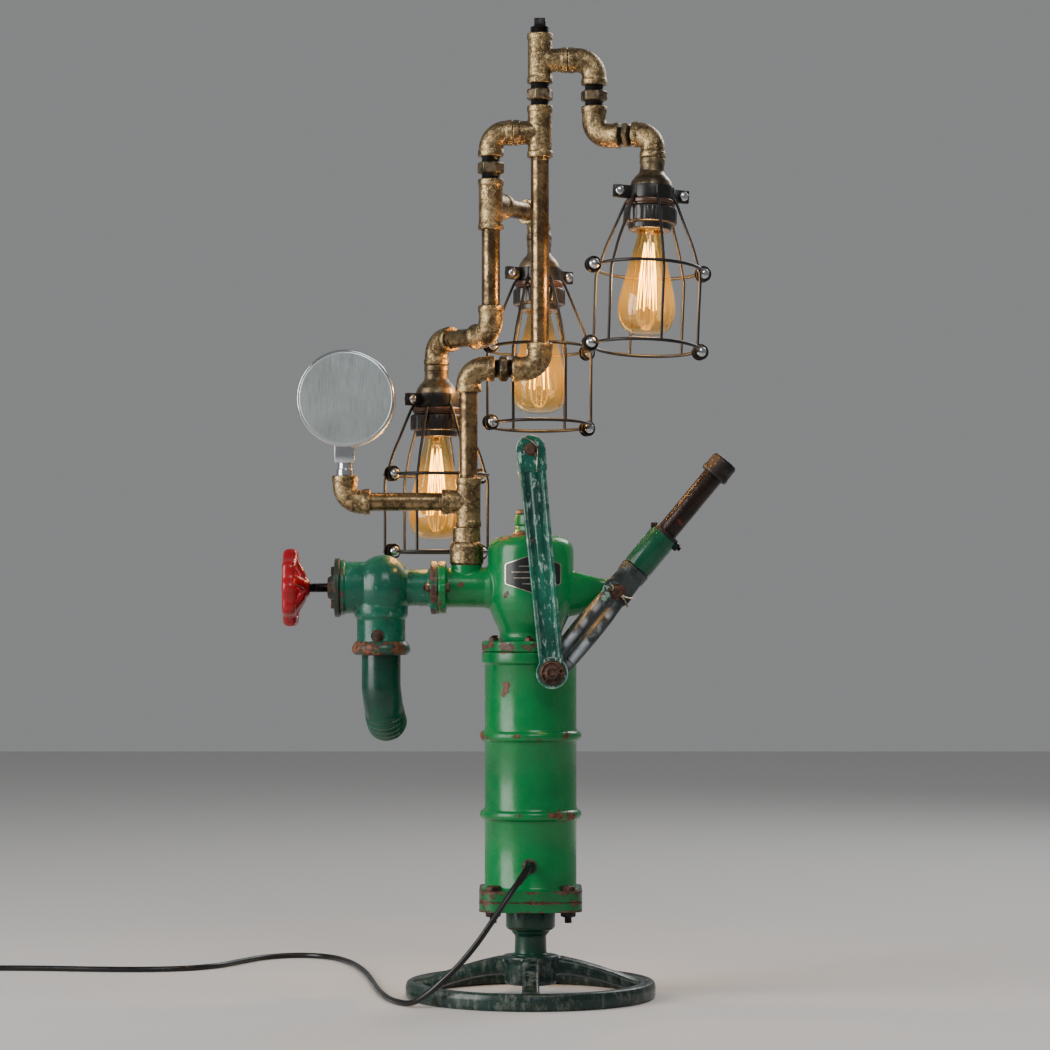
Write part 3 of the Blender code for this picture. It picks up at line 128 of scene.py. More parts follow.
# ---------------------------------------------------------------- camera, floor and light
PHOTO_SIDE = 1050            # picture side that the view is worked out for
SENSOR = 36.0
VIEW_SCALE = 3300.0          # lens length in picture units of the same side
CAMERA_DISTANCE = 3.712
CAMERA_HEIGHT = 0.445
CAMERA_SIDE = -0.0063        # of the pump's axis
HORIZON_DROP = 75.0          # of the picture's middle, in the same units


def make_camera():
    data = bpy.data.cameras.new("camera")
    data.sensor_width = SENSOR
    data.lens = SENSOR * VIEW_SCALE / PHOTO_SIDE
    data.clip_end = 30.0
    camera = bpy.data.objects.new("camera", data)
    camera.location = PUMP_AXIS + Vector((CAMERA_SIDE, -CAMERA_DISTANCE, CAMERA_HEIGHT))
    camera.rotation_euler = (math.pi / 2 + math.atan(HORIZON_DROP / VIEW_SCALE), 0.0, 0.0)
    bpy.context.scene.collection.objects.link(camera)
    bpy.context.scene.camera = camera


WORLD_COLOUR = (0.78, 0.79, 0.80, 1.0)
WORLD_STRENGTH = 0.31
FLOOR_HALF = 6.0
FLOOR_COLOUR = (0.62, 0.61, 0.60, 1.0)
FLOOR_ROUGHNESS = 0.6
LIT_HEIGHT = 0.55            # the height that the lights aim at
# name, place from the aim, sides, watts, colour, and whether it shows in glossy surfaces
STUDIO_LIGHTS = (
    ("key", (-2.6, -1.35, 0.75), (1.9, 2.3), 112.0, (1.0, 0.985, 0.96), True),
    ("front", (0.5, -2.4, 2.0), (1.2, 0.9), 26.0, (0.97, 0.98, 1.0), True),
    ("fill", (2.7, -0.7, 0.6), (0.7, 1.8), 14.0, (0.95, 0.97, 1.0), False),
    ("rim", (1.4, 2.2, 1.6), (1.2, 1.2), 30.0, (1.0, 1.0, 1.0), True),
)


def link(item):
    """Puts an object in the scene."""
    bpy.context.scene.collection.objects.link(item)
    return item


def area_light(name, location, aim, size, power, colour, mirrored):
    data = bpy.data.lights.new(name, "AREA")
    data.shape = "RECTANGLE"
    data.size, data.size_y = size
    data.energy = power
    data.color = colour
    light = link(bpy.data.objects.new(name, data))
    light.location = location
    light.visible_glossy = mirrored
    light.rotation_euler = (aim - location).to_track_quat("-Z", "Y").to_euler()


def make_world():
    world = bpy.data.worlds.new("studio")
    world.use_nodes = True
    background = world.node_tree.nodes["Background"]
    background.inputs["Color"].default_value = WORLD_COLOUR
    background.inputs["Strength"].default_value = WORLD_STRENGTH
    bpy.context.scene.world = world


def make_floor():
    shape = bmesh.new()
    shape.faces.new([shape.verts.new((x * FLOOR_HALF, y * FLOOR_HALF, 0.0))
                     for x, y in ((-1, -1), (1, -1), (1, 1), (-1, 1))])
    mesh = bpy.data.meshes.new("floor")
    shape.to_mesh(mesh)
    shape.free()
    material = bpy.data.materials.new("floor")
    material.use_nodes = True
    shader = material.node_tree.nodes["Principled BSDF"]
    shader.inputs["Base Color"].default_value = FLOOR_COLOUR
    shader.inputs["Roughness"].default_value = FLOOR_ROUGHNESS
    mesh.materials.append(material)
    link(bpy.data.objects.new("floor", mesh))


def make_lights():
    aim = PUMP_AXIS + UP * LIT_HEIGHT
    for name, place, size, power, colour, mirrored in STUDIO_LIGHTS:
        area_light(name, aim + Vector(place), aim, size, power, colour, mirrored)


make_camera()
make_world()
make_floor()
make_lights()


# ---------------------------------------------------------------- materials
def new_material(name):
    """A new material, with its node tree and its shader."""
    material = bpy.data.materials.new(name)
    material.use_nodes = True
    tree = material.node_tree
    return material, tree, tree.nodes["Principled BSDF"]


def noise(tree, vector, scale, detail=4.0, roughness=0.55, distortion=0.0):
    """Noise from 0 to 1; scale is its cells a metre."""
    node = tree.nodes.new("ShaderNodeTexNoise")
    node.inputs["Scale"].default_value = scale
    node.inputs["Detail"].default_value = detail
    node.inputs["Roughness"].default_value = roughness
    node.inputs["Distortion"].default_value = distortion
    tree.links.new(vector, node.inputs["Vector"])
    return node.outputs["Fac"]


def ramp(tree, value, low, high, low_value=0.0, high_value=1.0):
    """Maps a value smoothly from one range to another, clamped."""
    node = tree.nodes.new("ShaderNodeMapRange")
    node.interpolation_type = "SMOOTHSTEP"
    node.inputs["From Min"].default_value = low
    node.inputs["From Max"].default_value = high
    node.inputs["To Min"].default_value = low_value
    node.inputs["To Max"].default_value = high_value
    tree.links.new(value, node.inputs["Value"])
    return node.outputs["Result"]


def maths(tree, operation, first, second=None):
    """One sum on node outputs or plain numbers."""
    node = tree.nodes.new("ShaderNodeMath")
    node.operation = operation
    for socket, value in zip(node.inputs, (first, second)):
        if value is None:
            continue
        if isinstance(value, (int, float)):
            socket.default_value = value
        else:
            tree.links.new(value, socket)
    return node.outputs[0]


def blend_colours(tree, share, first, second):
    """From the first colour at share 0 to the second at 1."""
    node = tree.nodes.new("ShaderNodeMix")
    node.data_type = "RGBA"
    node.clamp_factor = True
    tree.links.new(share, node.inputs["Factor"])
    for socket, value in ((node.inputs["A"], first), (node.inputs["B"], second)):
        if isinstance(value, tuple):
            socket.default_value = (*value, 1.0)
        else:
            tree.links.new(value, socket)
    return node.outputs["Result"]


def place_vector(tree, scale=(1.0, 1.0, 1.0), rotation=(0.0, 0.0, 0.0)):
    """Object coordinates, stretched or turned for grain."""
    source = tree.nodes.new("ShaderNodeTexCoord").outputs["Object"]
    mapping = tree.nodes.new("ShaderNodeMapping")
    mapping.inputs["Scale"].default_value = scale
    mapping.inputs["Rotation"].default_value = rotation
    tree.links.new(source, mapping.inputs["Vector"])
    return mapping.outputs["Vector"]


def add_bump(tree, shader, height, strength, distance):
    """Fine relief; distance is its full height in metres."""
    node = tree.nodes.new("ShaderNodeBump")
    node.inputs["Strength"].default_value = strength
    node.inputs["Distance"].default_value = distance
    tree.links.new(height, node.inputs["Height"])
    tree.links.new(node.outputs["Normal"], shader.inputs["Normal"])


def axes_of(tree):
    """The X, Y and Z of a point in object coordinates."""
    source = tree.nodes.new("ShaderNodeTexCoord").outputs["Object"]
    split = tree.nodes.new("ShaderNodeSeparateXYZ")
    tree.links.new(source, split.inputs["Vector"])
    return split.outputs


def near_levels(tree, coordinate, levels):
    """1 at each level, falling to 0 over its reach; for wear on beads, rims and joints."""
    total = None
    for level, reach in levels:
        distance = maths(tree, "ABSOLUTE", maths(tree, "SUBTRACT", coordinate, level))
        close = ramp(tree, distance, 0.0, reach, 1.0, 0.0)
        total = close if total is None else maths(tree, "MAXIMUM", total, close)
    return total


RUST_DARK = (0.045, 0.018, 0.010)
RUST_LIGHT = (0.170, 0.060, 0.025)
OLIVE_RUST = (0.105, 0.050, 0.030)
MINT = (0.27, 0.44, 0.36)     # old pale paint under the flakes


def near_spots(tree, vector, spots):
    """1 inside each spot (centre, radius) and falling to 0 outside it, with an outline broken by noise."""
    total = None
    ragged = ramp(tree, noise(tree, vector, 130.0, 5.0, 0.65), 0.30, 0.70, 0.55, 1.50)
    for centre, radius in spots:
        shift = tree.nodes.new("ShaderNodeVectorMath")
        shift.operation = "DISTANCE"
        shift.inputs[1].default_value = centre
        tree.links.new(vector, shift.inputs[0])
        close = ramp(tree, maths(tree, "MULTIPLY", shift.outputs["Value"], ragged), radius * 0.8,
                     radius * 1.1, 1.0, 0.0)
        total = close if total is None else maths(tree, "MAXIMUM", total, close)
    return total


def worn_edges(tree, low=0.515, high=0.565):
    """1 on a casting's outward edges and 0 on its flats and in its hollows."""
    geometry = tree.nodes.new("ShaderNodeNewGeometry")
    return ramp(tree, geometry.outputs["Pointiness"], low, high)


def across_ridges(tree, turn, places, middle=0.0, reach=10.0):
    """1 along straight ridges of a piece that leans by an angle about Y, near a middle along its length."""
    split = tree.nodes.new("ShaderNodeSeparateXYZ")
    tree.links.new(place_vector(tree, rotation=(0.0, turn, 0.0)), split.inputs["Vector"])
    along = ramp(tree, near_levels(tree, split.outputs[2], ((middle, reach),)), 0.0, 0.30)
    return maths(tree, "MULTIPLY", along, near_levels(tree, split.outputs[0], places))


def painted(name, colour, deep, roughness=0.24, chip_size=42.0, chip_level=0.70, levels=(),
            casting=0.35, grime=0.35, wear_strength=0.17, spots=(), spot_strength=0.5, ridges=None,
            bare=(0.30, 0.37, 0.33), rust_light=RUST_LIGHT, side_levels=()):
    """Glossy paint over a casting: shade variation, chips down to rust, and more wear near given levels.

    spots are large chips; ridges are edges whose paint is rubbed to a pale bare colour.
    """
    material, tree, shader = new_material(name)
    vector = place_vector(tree)
    broad = noise(tree, vector, 9.0, 5.0, 0.6)
    paint = blend_colours(tree, ramp(tree, broad, 0.35, 0.68), colour, deep)
    chips = noise(tree, vector, chip_size, 8.0, 0.62, 0.4)
    if levels:
        wear = near_levels(tree, axes_of(tree)[2], levels)
        chips = maths(tree, "ADD", chips, maths(tree, "MULTIPLY", wear, wear_strength))
    if side_levels:
        wear = near_levels(tree, axes_of(tree)[0], side_levels)
        chips = maths(tree, "ADD", chips, maths(tree, "MULTIPLY", wear, 0.20))
    if spots:
        chips = maths(tree, "ADD", chips,
                      maths(tree, "MULTIPLY", near_spots(tree, vector, spots), spot_strength))
    chipped = ramp(tree, chips, chip_level, chip_level + 0.02)
    rim = ramp(tree, chips, chip_level - 0.035, chip_level)
    rust = blend_colours(tree, ramp(tree, noise(tree, vector, 210.0, 5.0), 0.38, 0.62), RUST_DARK,
                         rust_light)
    dirt = ramp(tree, noise(tree, vector, 26.0, 6.0, 0.7), 0.50, 0.78, 0.0, grime)
    aged = blend_colours(tree, dirt, paint, (deep[0] * 0.45, deep[1] * 0.40, deep[2] * 0.38))
    aged = blend_colours(tree, maths(tree, "MULTIPLY", rim, 0.55), aged, RUST_DARK)
    if ridges is not None:
        rubbed = maths(tree, "MULTIPLY", ridges(tree),
                       ramp(tree, noise(tree, vector, 75.0, 7.0, 0.7), 0.42, 0.58))
        aged = blend_colours(tree, rubbed, aged, bare)
    tree.links.new(blend_colours(tree, chipped, aged, rust), shader.inputs["Base Color"])
    gloss = ramp(tree, noise(tree, vector, 60.0, 4.0), 0.3, 0.75, roughness, roughness + 0.16)
    tree.links.new(maths(tree, "ADD", gloss, maths(tree, "MULTIPLY", chipped, 0.38)),
                   shader.inputs["Roughness"])
    shader.inputs["Specular IOR Level"].default_value = 0.34
    shader.inputs["Coat Weight"].default_value = 0.12
    shader.inputs["Coat Roughness"].default_value = 0.16
    skin = noise(tree, vector, 55.0, 5.0, 0.6)
    surface = maths(tree, "SUBTRACT", maths(tree, "MULTIPLY", skin, casting),
                    maths(tree, "MULTIPLY", chipped, 0.35))
    add_bump(tree, shader, surface, 0.9, 0.0011)
    return material


def worn_metal(name, dark, light, roughness=(0.34, 0.62), metallic=0.9, scale=70.0, bump=0.5, tint=None,
               tint_level=0.62,
               ridges=None, bare=(0.36, 0.38, 0.39), spots=()):
    """Old metal: two shades mottled together, with rough and polished patches."""
    material, tree, shader = new_material(name)
    vector = place_vector(tree)
    mottle = noise(tree, vector, scale, 8.0, 0.68, 0.2)
    broad = noise(tree, vector, scale * 0.22, 3.0)
    share = maths(tree, "ADD", maths(tree, "MULTIPLY", mottle, 0.65), maths(tree, "MULTIPLY", broad, 0.35))
    share = ramp(tree, share, 0.42, 0.58)
    colour = blend_colours(tree, share, dark, light)
    if tint is not None:
        patches = ramp(tree, noise(tree, vector, scale * 0.4, 7.0, 0.7), tint_level, tint_level + 0.06)
        colour = blend_colours(tree, patches, colour, tint)
    # a paler colour along given ridges; on the lever's rib crests it is partly rubbed metal and partly a
    # painted highlight
    if ridges is not None:
        rubbed = maths(tree, "MULTIPLY", ridges(tree),
                       ramp(tree, noise(tree, vector, 38.0, 6.0, 0.6), 0.36, 0.52))
        colour = blend_colours(tree, rubbed, colour, bare)
    if spots:
        flakes = maths(tree, "ADD", noise(tree, vector, 120.0, 8.0, 0.72),
                       maths(tree, "MULTIPLY", near_spots(tree, vector, spots), 0.20))
        colour = blend_colours(tree, ramp(tree, flakes, 0.68, 0.71), colour, MINT)
    tree.links.new(colour, shader.inputs["Base Color"])
    tree.links.new(ramp(tree, mottle, 0.35, 0.65, roughness[1], roughness[0]), shader.inputs["Roughness"])
    shader.inputs["Metallic"].default_value = metallic
    grain = noise(tree, vector, scale * 2.6, 6.0, 0.6)
    add_bump(tree, shader, maths(tree, "ADD", grain, maths(tree, "MULTIPLY", mottle, 0.8)), bump, 0.0007)
    return material


def plain_finish(name, colour, roughness, metallic=0.0, grain=240.0, bump=0.15, variation=0.25):
    """Rubber, bakelite, lacquer and plated metal: nearly even, with a fine grain and slight smears."""
    material, tree, shader = new_material(name)
    vector = place_vector(tree)
    smear = ramp(tree, noise(tree, vector, 35.0, 4.0), 0.3, 0.7)
    darker = tuple(channel * (1 - variation) for channel in colour)
    tree.links.new(blend_colours(tree, smear, darker, colour), shader.inputs["Base Color"])
    tree.links.new(ramp(tree, smear, 0.0, 1.0, roughness * 0.85, min(roughness * 1.25, 1.0)),
                   shader.inputs["Roughness"])
    shader.inputs["Metallic"].default_value = metallic
    add_bump(tree, shader, noise(tree, vector, grain, 3.0), bump, 0.0003)
    return material


def brushed_steel(name, colour=(0.60, 0.64, 0.635), stretch=(1.0, 1.0, 60.0), roughness=(0.22, 0.40)):
    """Steel with a straight brushed grain across the stretched direction."""
    material, tree, shader = new_material(name)
    grain = noise(tree, place_vector(tree, stretch), 40.0, 5.0, 0.6)
    clouds = noise(tree, place_vector(tree), 16.0, 5.0, 0.65)
    tree.links.new(blend_colours(tree, ramp(tree, clouds, 0.3, 0.7), tuple(c * 0.78 for c in colour),
                                 colour),
                   shader.inputs["Base Color"])
    tree.links.new(ramp(tree, grain, 0.3, 0.7, roughness[0], roughness[1]), shader.inputs["Roughness"])
    shader.inputs["Metallic"].default_value = 1.0
    add_bump(tree, shader, grain, 0.18, 0.0002)
    return material


def amber_glass(name, glow_height):
    """A bulb's amber envelope, lit from inside most strongly round the middle of its wires."""
    material, tree, shader = new_material(name)
    vector = place_vector(tree)
    tone = ramp(tree, noise(tree, vector, 14.0, 3.0), 0.3, 0.7)
    tree.links.new(blend_colours(tree, tone, (1.0, 0.74, 0.34), (1.0, 0.85, 0.50)),
                   shader.inputs["Base Color"])
    shader.inputs["Transmission Weight"].default_value = 1.0
    shader.inputs["Roughness"].default_value = 0.02
    shader.inputs["IOR"].default_value = 1.45
    lit = near_levels(tree, axes_of(tree)[2], ((glow_height, 0.052),))
    tree.links.new(blend_colours(tree, lit, (0.0, 0.0, 0.0), (0.85, 0.34, 0.015)),
                   shader.inputs["Emission Color"])
    shader.inputs["Emission Strength"].default_value = 0.24
    add_bump(tree, shader, noise(tree, vector, 30.0, 2.0), 0.05, 0.0004)
    return material


def clear_glass():
    """The gauge's window and the bulbs' glass mounts, faintly smeared."""
    material, tree, shader = new_material("clear_glass")
    vector = place_vector(tree)
    smear = ramp(tree, noise(tree, vector, 22.0, 4.0), 0.45, 0.75, 0.01, 0.05)
    shader.inputs["Base Color"].default_value = (0.97, 0.98, 0.98, 1.0)
    tree.links.new(smear, shader.inputs["Roughness"])
    shader.inputs["Transmission Weight"].default_value = 1.0
    shader.inputs["IOR"].default_value = 1.45
    return material


def glowing_wire():
    """A filament, a little hotter in some places than in others."""
    material, tree, shader = new_material("glowing_filament")
    vector = place_vector(tree)
    heat = ramp(tree, noise(tree, vector, 60.0, 2.0), 0.3, 0.7)
    tree.links.new(blend_colours(tree, heat, (1.0, 0.64, 0.05), (1.0, 0.74, 0.09)),
                   shader.inputs["Emission Color"])
    shader.inputs["Emission Strength"].default_value = 8.0
    shader.inputs["Base Color"].default_value = (0.9, 0.5, 0.2, 1.0)
    return material


# ---- wear, and the painted highlight on the lever's rib crests
LINK_TURN = math.atan2(CROSSHEAD.z - LINK_FOOT.z, CROSSHEAD.x - LINK_FOOT.x) - math.pi / 2
LEVER_TURN = LEVER_ANGLE - math.pi / 2
FOOT_X = PUMP_AXIS.x + LINK_FOOT.x
# where the lever's line lies across, and its foot along, once its coordinates are turned upright
LEVER_OFFSET = FOOT_X * math.cos(LEVER_TURN) + LINK_FOOT.z * math.sin(LEVER_TURN)
LEVER_START = LINK_FOOT.z * math.cos(LEVER_TURN) - FOOT_X * math.sin(LEVER_TURN)
# points along the front spoke's top, as (distance from the axis, height)
FRONT_SPOKE_TOP = ((0.040, 0.0440), (0.054, 0.0400), (0.068, 0.0365), (0.084, 0.0310))


def teal_wear(tree):
    """Fine pale specks all over the valve's paint."""
    return ramp(tree, noise(tree, place_vector(tree), 95.0, 7.0, 0.75), 0.54, 0.66, 0.0, 0.7)


def link_ridges(tree):
    """Worn edges, and scratches and specks drawn out along the link."""
    turned = place_vector(tree, rotation=(0.0, LINK_TURN, 0.0))
    stretch = tree.nodes.new("ShaderNodeMapping")
    stretch.inputs["Scale"].default_value = (1.0, 1.0, 0.30)
    tree.links.new(turned, stretch.inputs["Vector"])
    specks = ramp(tree, noise(tree, stretch.outputs["Vector"], 240.0, 6.0, 0.72), 0.535, 0.62, 0.0, 0.85)
    return maths(tree, "MAXIMUM", worn_edges(tree, 0.505, 0.55), specks)


def lever_crest_highlight_and_wear(tree):
    """The rib crests of the lever, painted pale as rubbed metal and as a highlight, and its worn edges."""
    crests = [(LEVER_OFFSET + across, 0.0060) for across in (-0.0082, 0.0082)]
    ribs = across_ridges(tree, LEVER_TURN, crests, LEVER_START + 0.056, 0.050)
    return maths(tree, "MAXIMUM", ribs, maths(tree, "MULTIPLY", worn_edges(tree, 0.53, 0.59), 0.7))


def base_ridges(tree):
    """Worn edges, upright streaks in the scale on the rim, and a front spoke rubbed bare."""
    streaks = ramp(tree, noise(tree, place_vector(tree, (1.0, 1.0, 0.35)), 150.0, 7.0, 0.72), 0.45, 0.61,
                   0.0, 0.68)
    rubbed = [((PUMP_AXIS.x, PUMP_AXIS.y - reach, height), 0.013) for reach, height in FRONT_SPOKE_TOP]
    spoke = near_spots(tree, place_vector(tree), rubbed)
    wear = maths(tree, "MAXIMUM", streaks, spoke)
    return maths(tree, "MAXIMUM", wear, worn_edges(tree))


# Wear levels are (height, reach); spots are (centre, radius).
BARREL_LEVELS = ((0.1100, 0.016), (0.2050, 0.013), (0.2930, 0.013), (0.3868, 0.0050))
HEAD_LEVELS = ((0.3925, 0.0115), (0.5180, 0.012))
BARREL_SPOTS = tuple(((PUMP_AXIS.x + x, PUMP_AXIS.y - 0.043, z), radius) for x, z, radius in
                     ((-0.0255, 0.3500, 0.0042), (-0.0270, 0.3445, 0.0044), (-0.0310, 0.3400, 0.0040),
                      (-0.0345, 0.3385, 0.0036), (-0.0120, 0.1620, 0.0030)))
HEAD_SPOTS = (((PUMP_AXIS.x - 0.0277, PUMP_AXIS.y - 0.0395, 0.4500), 0.0040),
              ((PUMP_AXIS.x - 0.0770, PUMP_AXIS.y - 0.0220, 0.4620), 0.0034))
FLANGE_LEVELS = ((0.0991, 0.0042), (0.1100, 0.0034), (0.1224, 0.0046))
FLANGE_CORNERS = tuple((PUMP_AXIS + Vector((sx * 0.0520, sy * 0.0520, 0.1160)), 0.0105) for sx in (-1, 1)
                       for sy in (-1, 1))
LEVER_FLAKES = (((PUMP_AXIS.x + 0.0850, PUMP_AXIS.y - 0.0160, 0.4520), 0.0105),
                ((PUMP_AXIS.x + 0.1180, PUMP_AXIS.y - 0.0150, 0.4860), 0.0060))


# ---- the lamp's materials
GREEN = painted("enamel_green", (0.001, 0.158, 0.037), (0.001, 0.108, 0.026), roughness=0.17,
                chip_size=46.0, chip_level=0.725, grime=0.30)
GREEN_BARREL = painted("enamel_green_barrel", (0.001, 0.168, 0.040), (0.001, 0.116, 0.028), roughness=0.20,
                       chip_size=40.0, chip_level=0.715, levels=BARREL_LEVELS, grime=0.25,
                       spots=BARREL_SPOTS)
GREEN_HEAD = painted("enamel_green_head", (0.001, 0.172, 0.044), (0.001, 0.118, 0.030), roughness=0.19,
                     chip_size=44.0, chip_level=0.715, levels=HEAD_LEVELS, grime=0.25, wear_strength=0.24,
                     spots=HEAD_SPOTS, rust_light=OLIVE_RUST, side_levels=((PUMP_AXIS.x - 0.0995, 0.0085),))
TEAL = painted("enamel_teal", (0.005, 0.145, 0.076), (0.003, 0.066, 0.040), roughness=0.20, chip_size=36.0,
               chip_level=0.655, grime=0.8, ridges=teal_wear, bare=(0.14, 0.30, 0.23),
               rust_light=OLIVE_RUST,
               side_levels=((PUMP_AXIS.x - 0.1085, 0.0085), (PUMP_AXIS.x - 0.2120, 0.0050)))
TEAL_SPOUT = painted("enamel_teal_spout", (0.003, 0.062, 0.034), (0.002, 0.028, 0.018), roughness=0.18,
                     chip_size=40.0, chip_level=0.66, grime=0.8)
LINK_PAINT = painted("link_paint", (0.006, 0.115, 0.070), (0.005, 0.045, 0.034), roughness=0.20,
                     chip_size=52.0, chip_level=0.66, grime=0.6, ridges=link_ridges,
                     bare=(0.38, 0.50, 0.44))
SLEEVE_PAINT = painted("sleeve_paint", (0.001, 0.078, 0.036), (0.001, 0.046, 0.023), roughness=0.18,
                       chip_size=44.0, chip_level=0.70, grime=0.6)
BASE_PAINT = painted("base_paint", (0.005, 0.026, 0.020), (0.003, 0.012, 0.010), roughness=0.28,
                     chip_size=48.0, chip_level=0.68, grime=0.6, casting=0.9, ridges=base_ridges,
                     bare=(0.112, 0.128, 0.108))
# the lever's pale rib crests are partly rubbed metal and partly a painted highlight
LEVER_IRON = worn_metal("lever_iron", (0.009, 0.014, 0.014), (0.036, 0.047, 0.046), roughness=(0.28, 0.52),
                        metallic=0.25, scale=60.0, bump=0.7, tint=(0.018, 0.075, 0.050), tint_level=0.58,
                        ridges=lever_crest_highlight_and_wear, bare=(0.33, 0.37, 0.41), spots=LEVER_FLAKES)
RUSTY = worn_metal("oiled_rust", (0.030, 0.013, 0.008), (0.100, 0.040, 0.020), roughness=(0.30, 0.62),
                   metallic=0.55, scale=90.0, bump=0.8, tint=(0.20, 0.075, 0.030), tint_level=0.66)
BRONZE = worn_metal("bronzed_iron", (0.105, 0.072, 0.038), (0.400, 0.282, 0.138), roughness=(0.22, 0.40),
                    metallic=0.96, scale=260.0, bump=0.75)
BRONZE_PIPE = worn_metal("bronzed_pipe", (0.070, 0.046, 0.026), (0.300, 0.200, 0.098),
                         roughness=(0.20, 0.40), metallic=0.96, scale=140.0, bump=0.30)
BLACK_STEEL = worn_metal("blackened_steel", (0.008, 0.008, 0.008), (0.040, 0.038, 0.035),
                         roughness=(0.30, 0.52), metallic=0.8, scale=110.0, bump=0.5)
WIRE = plain_finish("guard_wire", (0.016, 0.015, 0.014), roughness=0.36, metallic=0.35, grain=180.0,
                    bump=0.4)
CHROME = plain_finish("plated_screw", (0.62, 0.62, 0.64), roughness=0.16, metallic=1.0, grain=300.0,
                      bump=0.1, variation=0.12)
RED = painted("wheel_red", (0.290, 0.004, 0.009), (0.170, 0.003, 0.006), roughness=0.16, chip_size=44.0,
              chip_level=0.78, grime=0.2, casting=0.25)
STEEL = brushed_steel("gauge_steel", (0.71, 0.78, 0.77), (60.0, 1.0, 1.0), (0.26, 0.38))
POLISHED = plain_finish("polished_steel", (0.60, 0.61, 0.63), roughness=0.14, metallic=1.0, grain=260.0,
                        bump=0.08, variation=0.1)
BAKELITE = plain_finish("bakelite", (0.016, 0.014, 0.013), roughness=0.26, metallic=0.0, grain=200.0,
                        bump=0.1)
BROWN_RING = plain_finish("brown_bakelite", (0.085, 0.040, 0.022), roughness=0.30, metallic=0.2,
                          grain=200.0, bump=0.15)
AGED_BRASS = worn_metal("aged_brass", (0.055, 0.042, 0.028), (0.230, 0.170, 0.095), roughness=(0.28, 0.50),
                        metallic=0.9, scale=70.0, bump=0.3)
RUBBER = plain_finish("cord_rubber", (0.003, 0.003, 0.0034), roughness=0.30, metallic=0.0, grain=320.0,
                      bump=0.15)
PLUG_PLASTIC = plain_finish("plug_plastic", (0.018, 0.018, 0.019), roughness=0.34, metallic=0.0,
                            grain=240.0, bump=0.2)
WINDOW = clear_glass()
FILAMENT = glowing_wire()
CAP_METAL = plain_finish("bulb_cap", (0.55, 0.50, 0.40), roughness=0.3, metallic=1.0, grain=200.0, bump=0.2)
DIAL_WHITE = plain_finish("dial_white", (0.78, 0.77, 0.73), roughness=0.55, metallic=0.0, grain=200.0,
                          bump=0.05, variation=0.06)
DIAL_BLACK = plain_finish("dial_black", (0.02, 0.02, 0.02), roughness=0.5, metallic=0.0, grain=200.0,
                          bump=0.05)
STEM_PAINT = painted("stem_paint", (0.004, 0.050, 0.026), (0.004, 0.018, 0.013), roughness=0.22,
                     chip_size=44.0, chip_level=0.64, grime=0.8)
FLANGE_PAINT = painted("flange_paint", (0.001, 0.126, 0.032), (0.001, 0.070, 0.018), roughness=0.24,
                       chip_size=74.0, chip_level=0.650, levels=FLANGE_LEVELS, grime=0.8,
                       wear_strength=0.19, spots=FLANGE_CORNERS, spot_strength=0.14,
                       rust_light=(0.105, 0.052, 0.032))
BOLT_RUST = worn_metal("bolt_rust", (0.028, 0.014, 0.010), (0.105, 0.048, 0.028), roughness=(0.40, 0.70),
                       metallic=0.45, scale=130.0, bump=0.8, tint=(0.010, 0.050, 0.030), tint_level=0.60)
PIN_STEEL = worn_metal("pin_steel", (0.10, 0.07, 0.045), (0.46, 0.40, 0.30), roughness=(0.30, 0.55),
                       metallic=0.85, scale=150.0, bump=0.4)
GRIP_RUST = worn_metal("grip_rust", (0.006, 0.004, 0.003), (0.022, 0.010, 0.007), roughness=(0.16, 0.38),
                       metallic=0.5, scale=70.0, bump=0.7, tint=(0.130, 0.030, 0.010), tint_level=0.66)
CAP_RUST = worn_metal("cap_rust", (0.006, 0.006, 0.006), (0.028, 0.021, 0.017), roughness=(0.28, 0.55),
                      metallic=0.5, scale=90.0, bump=0.8)
COLLAR_RUST = painted("collar_rust", (0.008, 0.080, 0.045), (0.010, 0.045, 0.030), roughness=0.30,
                      chip_size=60.0, chip_level=0.50, grime=0.8)
BONNET_PAINT = painted("bonnet_paint", (0.010, 0.040, 0.026), (0.014, 0.022, 0.016), roughness=0.40,
                       chip_size=60.0, chip_level=0.56, grime=0.8)
GASKET_BROWN = worn_metal("gasket_brown", (0.060, 0.030, 0.012), (0.240, 0.130, 0.045),
                          roughness=(0.5, 0.75), metallic=0.1, scale=90.0, bump=0.6)
NIPPLE_DARK = worn_metal("nipple_dark", (0.030, 0.024, 0.018), (0.200, 0.150, 0.090),
                         roughness=(0.30, 0.55), metallic=0.9, scale=110.0, bump=0.6)
PLATE_BLACK = plain_finish("plate_black", (0.012, 0.013, 0.014), roughness=0.35, metallic=0.2, grain=260.0,
                           bump=0.2, variation=0.3)
LEATHER = worn_metal("piston_leather", (0.050, 0.022, 0.010), (0.130, 0.065, 0.030), roughness=(0.55, 0.8),
                     metallic=0.0, scale=120.0, bump=0.7)


# ---------------------------------------------------------------- mesh tools
def placed(point, direction):
    """The placing that takes local +Z to a direction and the local origin to a point."""
    turn = Vector(direction).to_track_quat("Z", "Y").to_matrix().to_4x4()
    return Matrix.Translation(Vector(point)) @ turn


def close_mesh(shape):
    bmesh.ops.recalc_face_normals(shape, faces=shape.faces)
    mesh = bpy.data.meshes.new("part")
    shape.to_mesh(mesh)
    shape.free()
    return mesh


def bridge_rings(shape, lower, upper):
    """Faces between two rings of vertices; a ring of one vertex is a point on the axis."""
    count = max(len(lower), len(upper))
    if count == 1:
        return
    for index in range(count):
        following = (index + 1) % count
        corners = [lower[index % len(lower)]]
        if len(lower) > 1:
            corners.append(lower[following])
        if len(upper) > 1:
            corners.append(upper[following])
        corners.append(upper[index % len(upper)])
        shape.faces.new(corners)


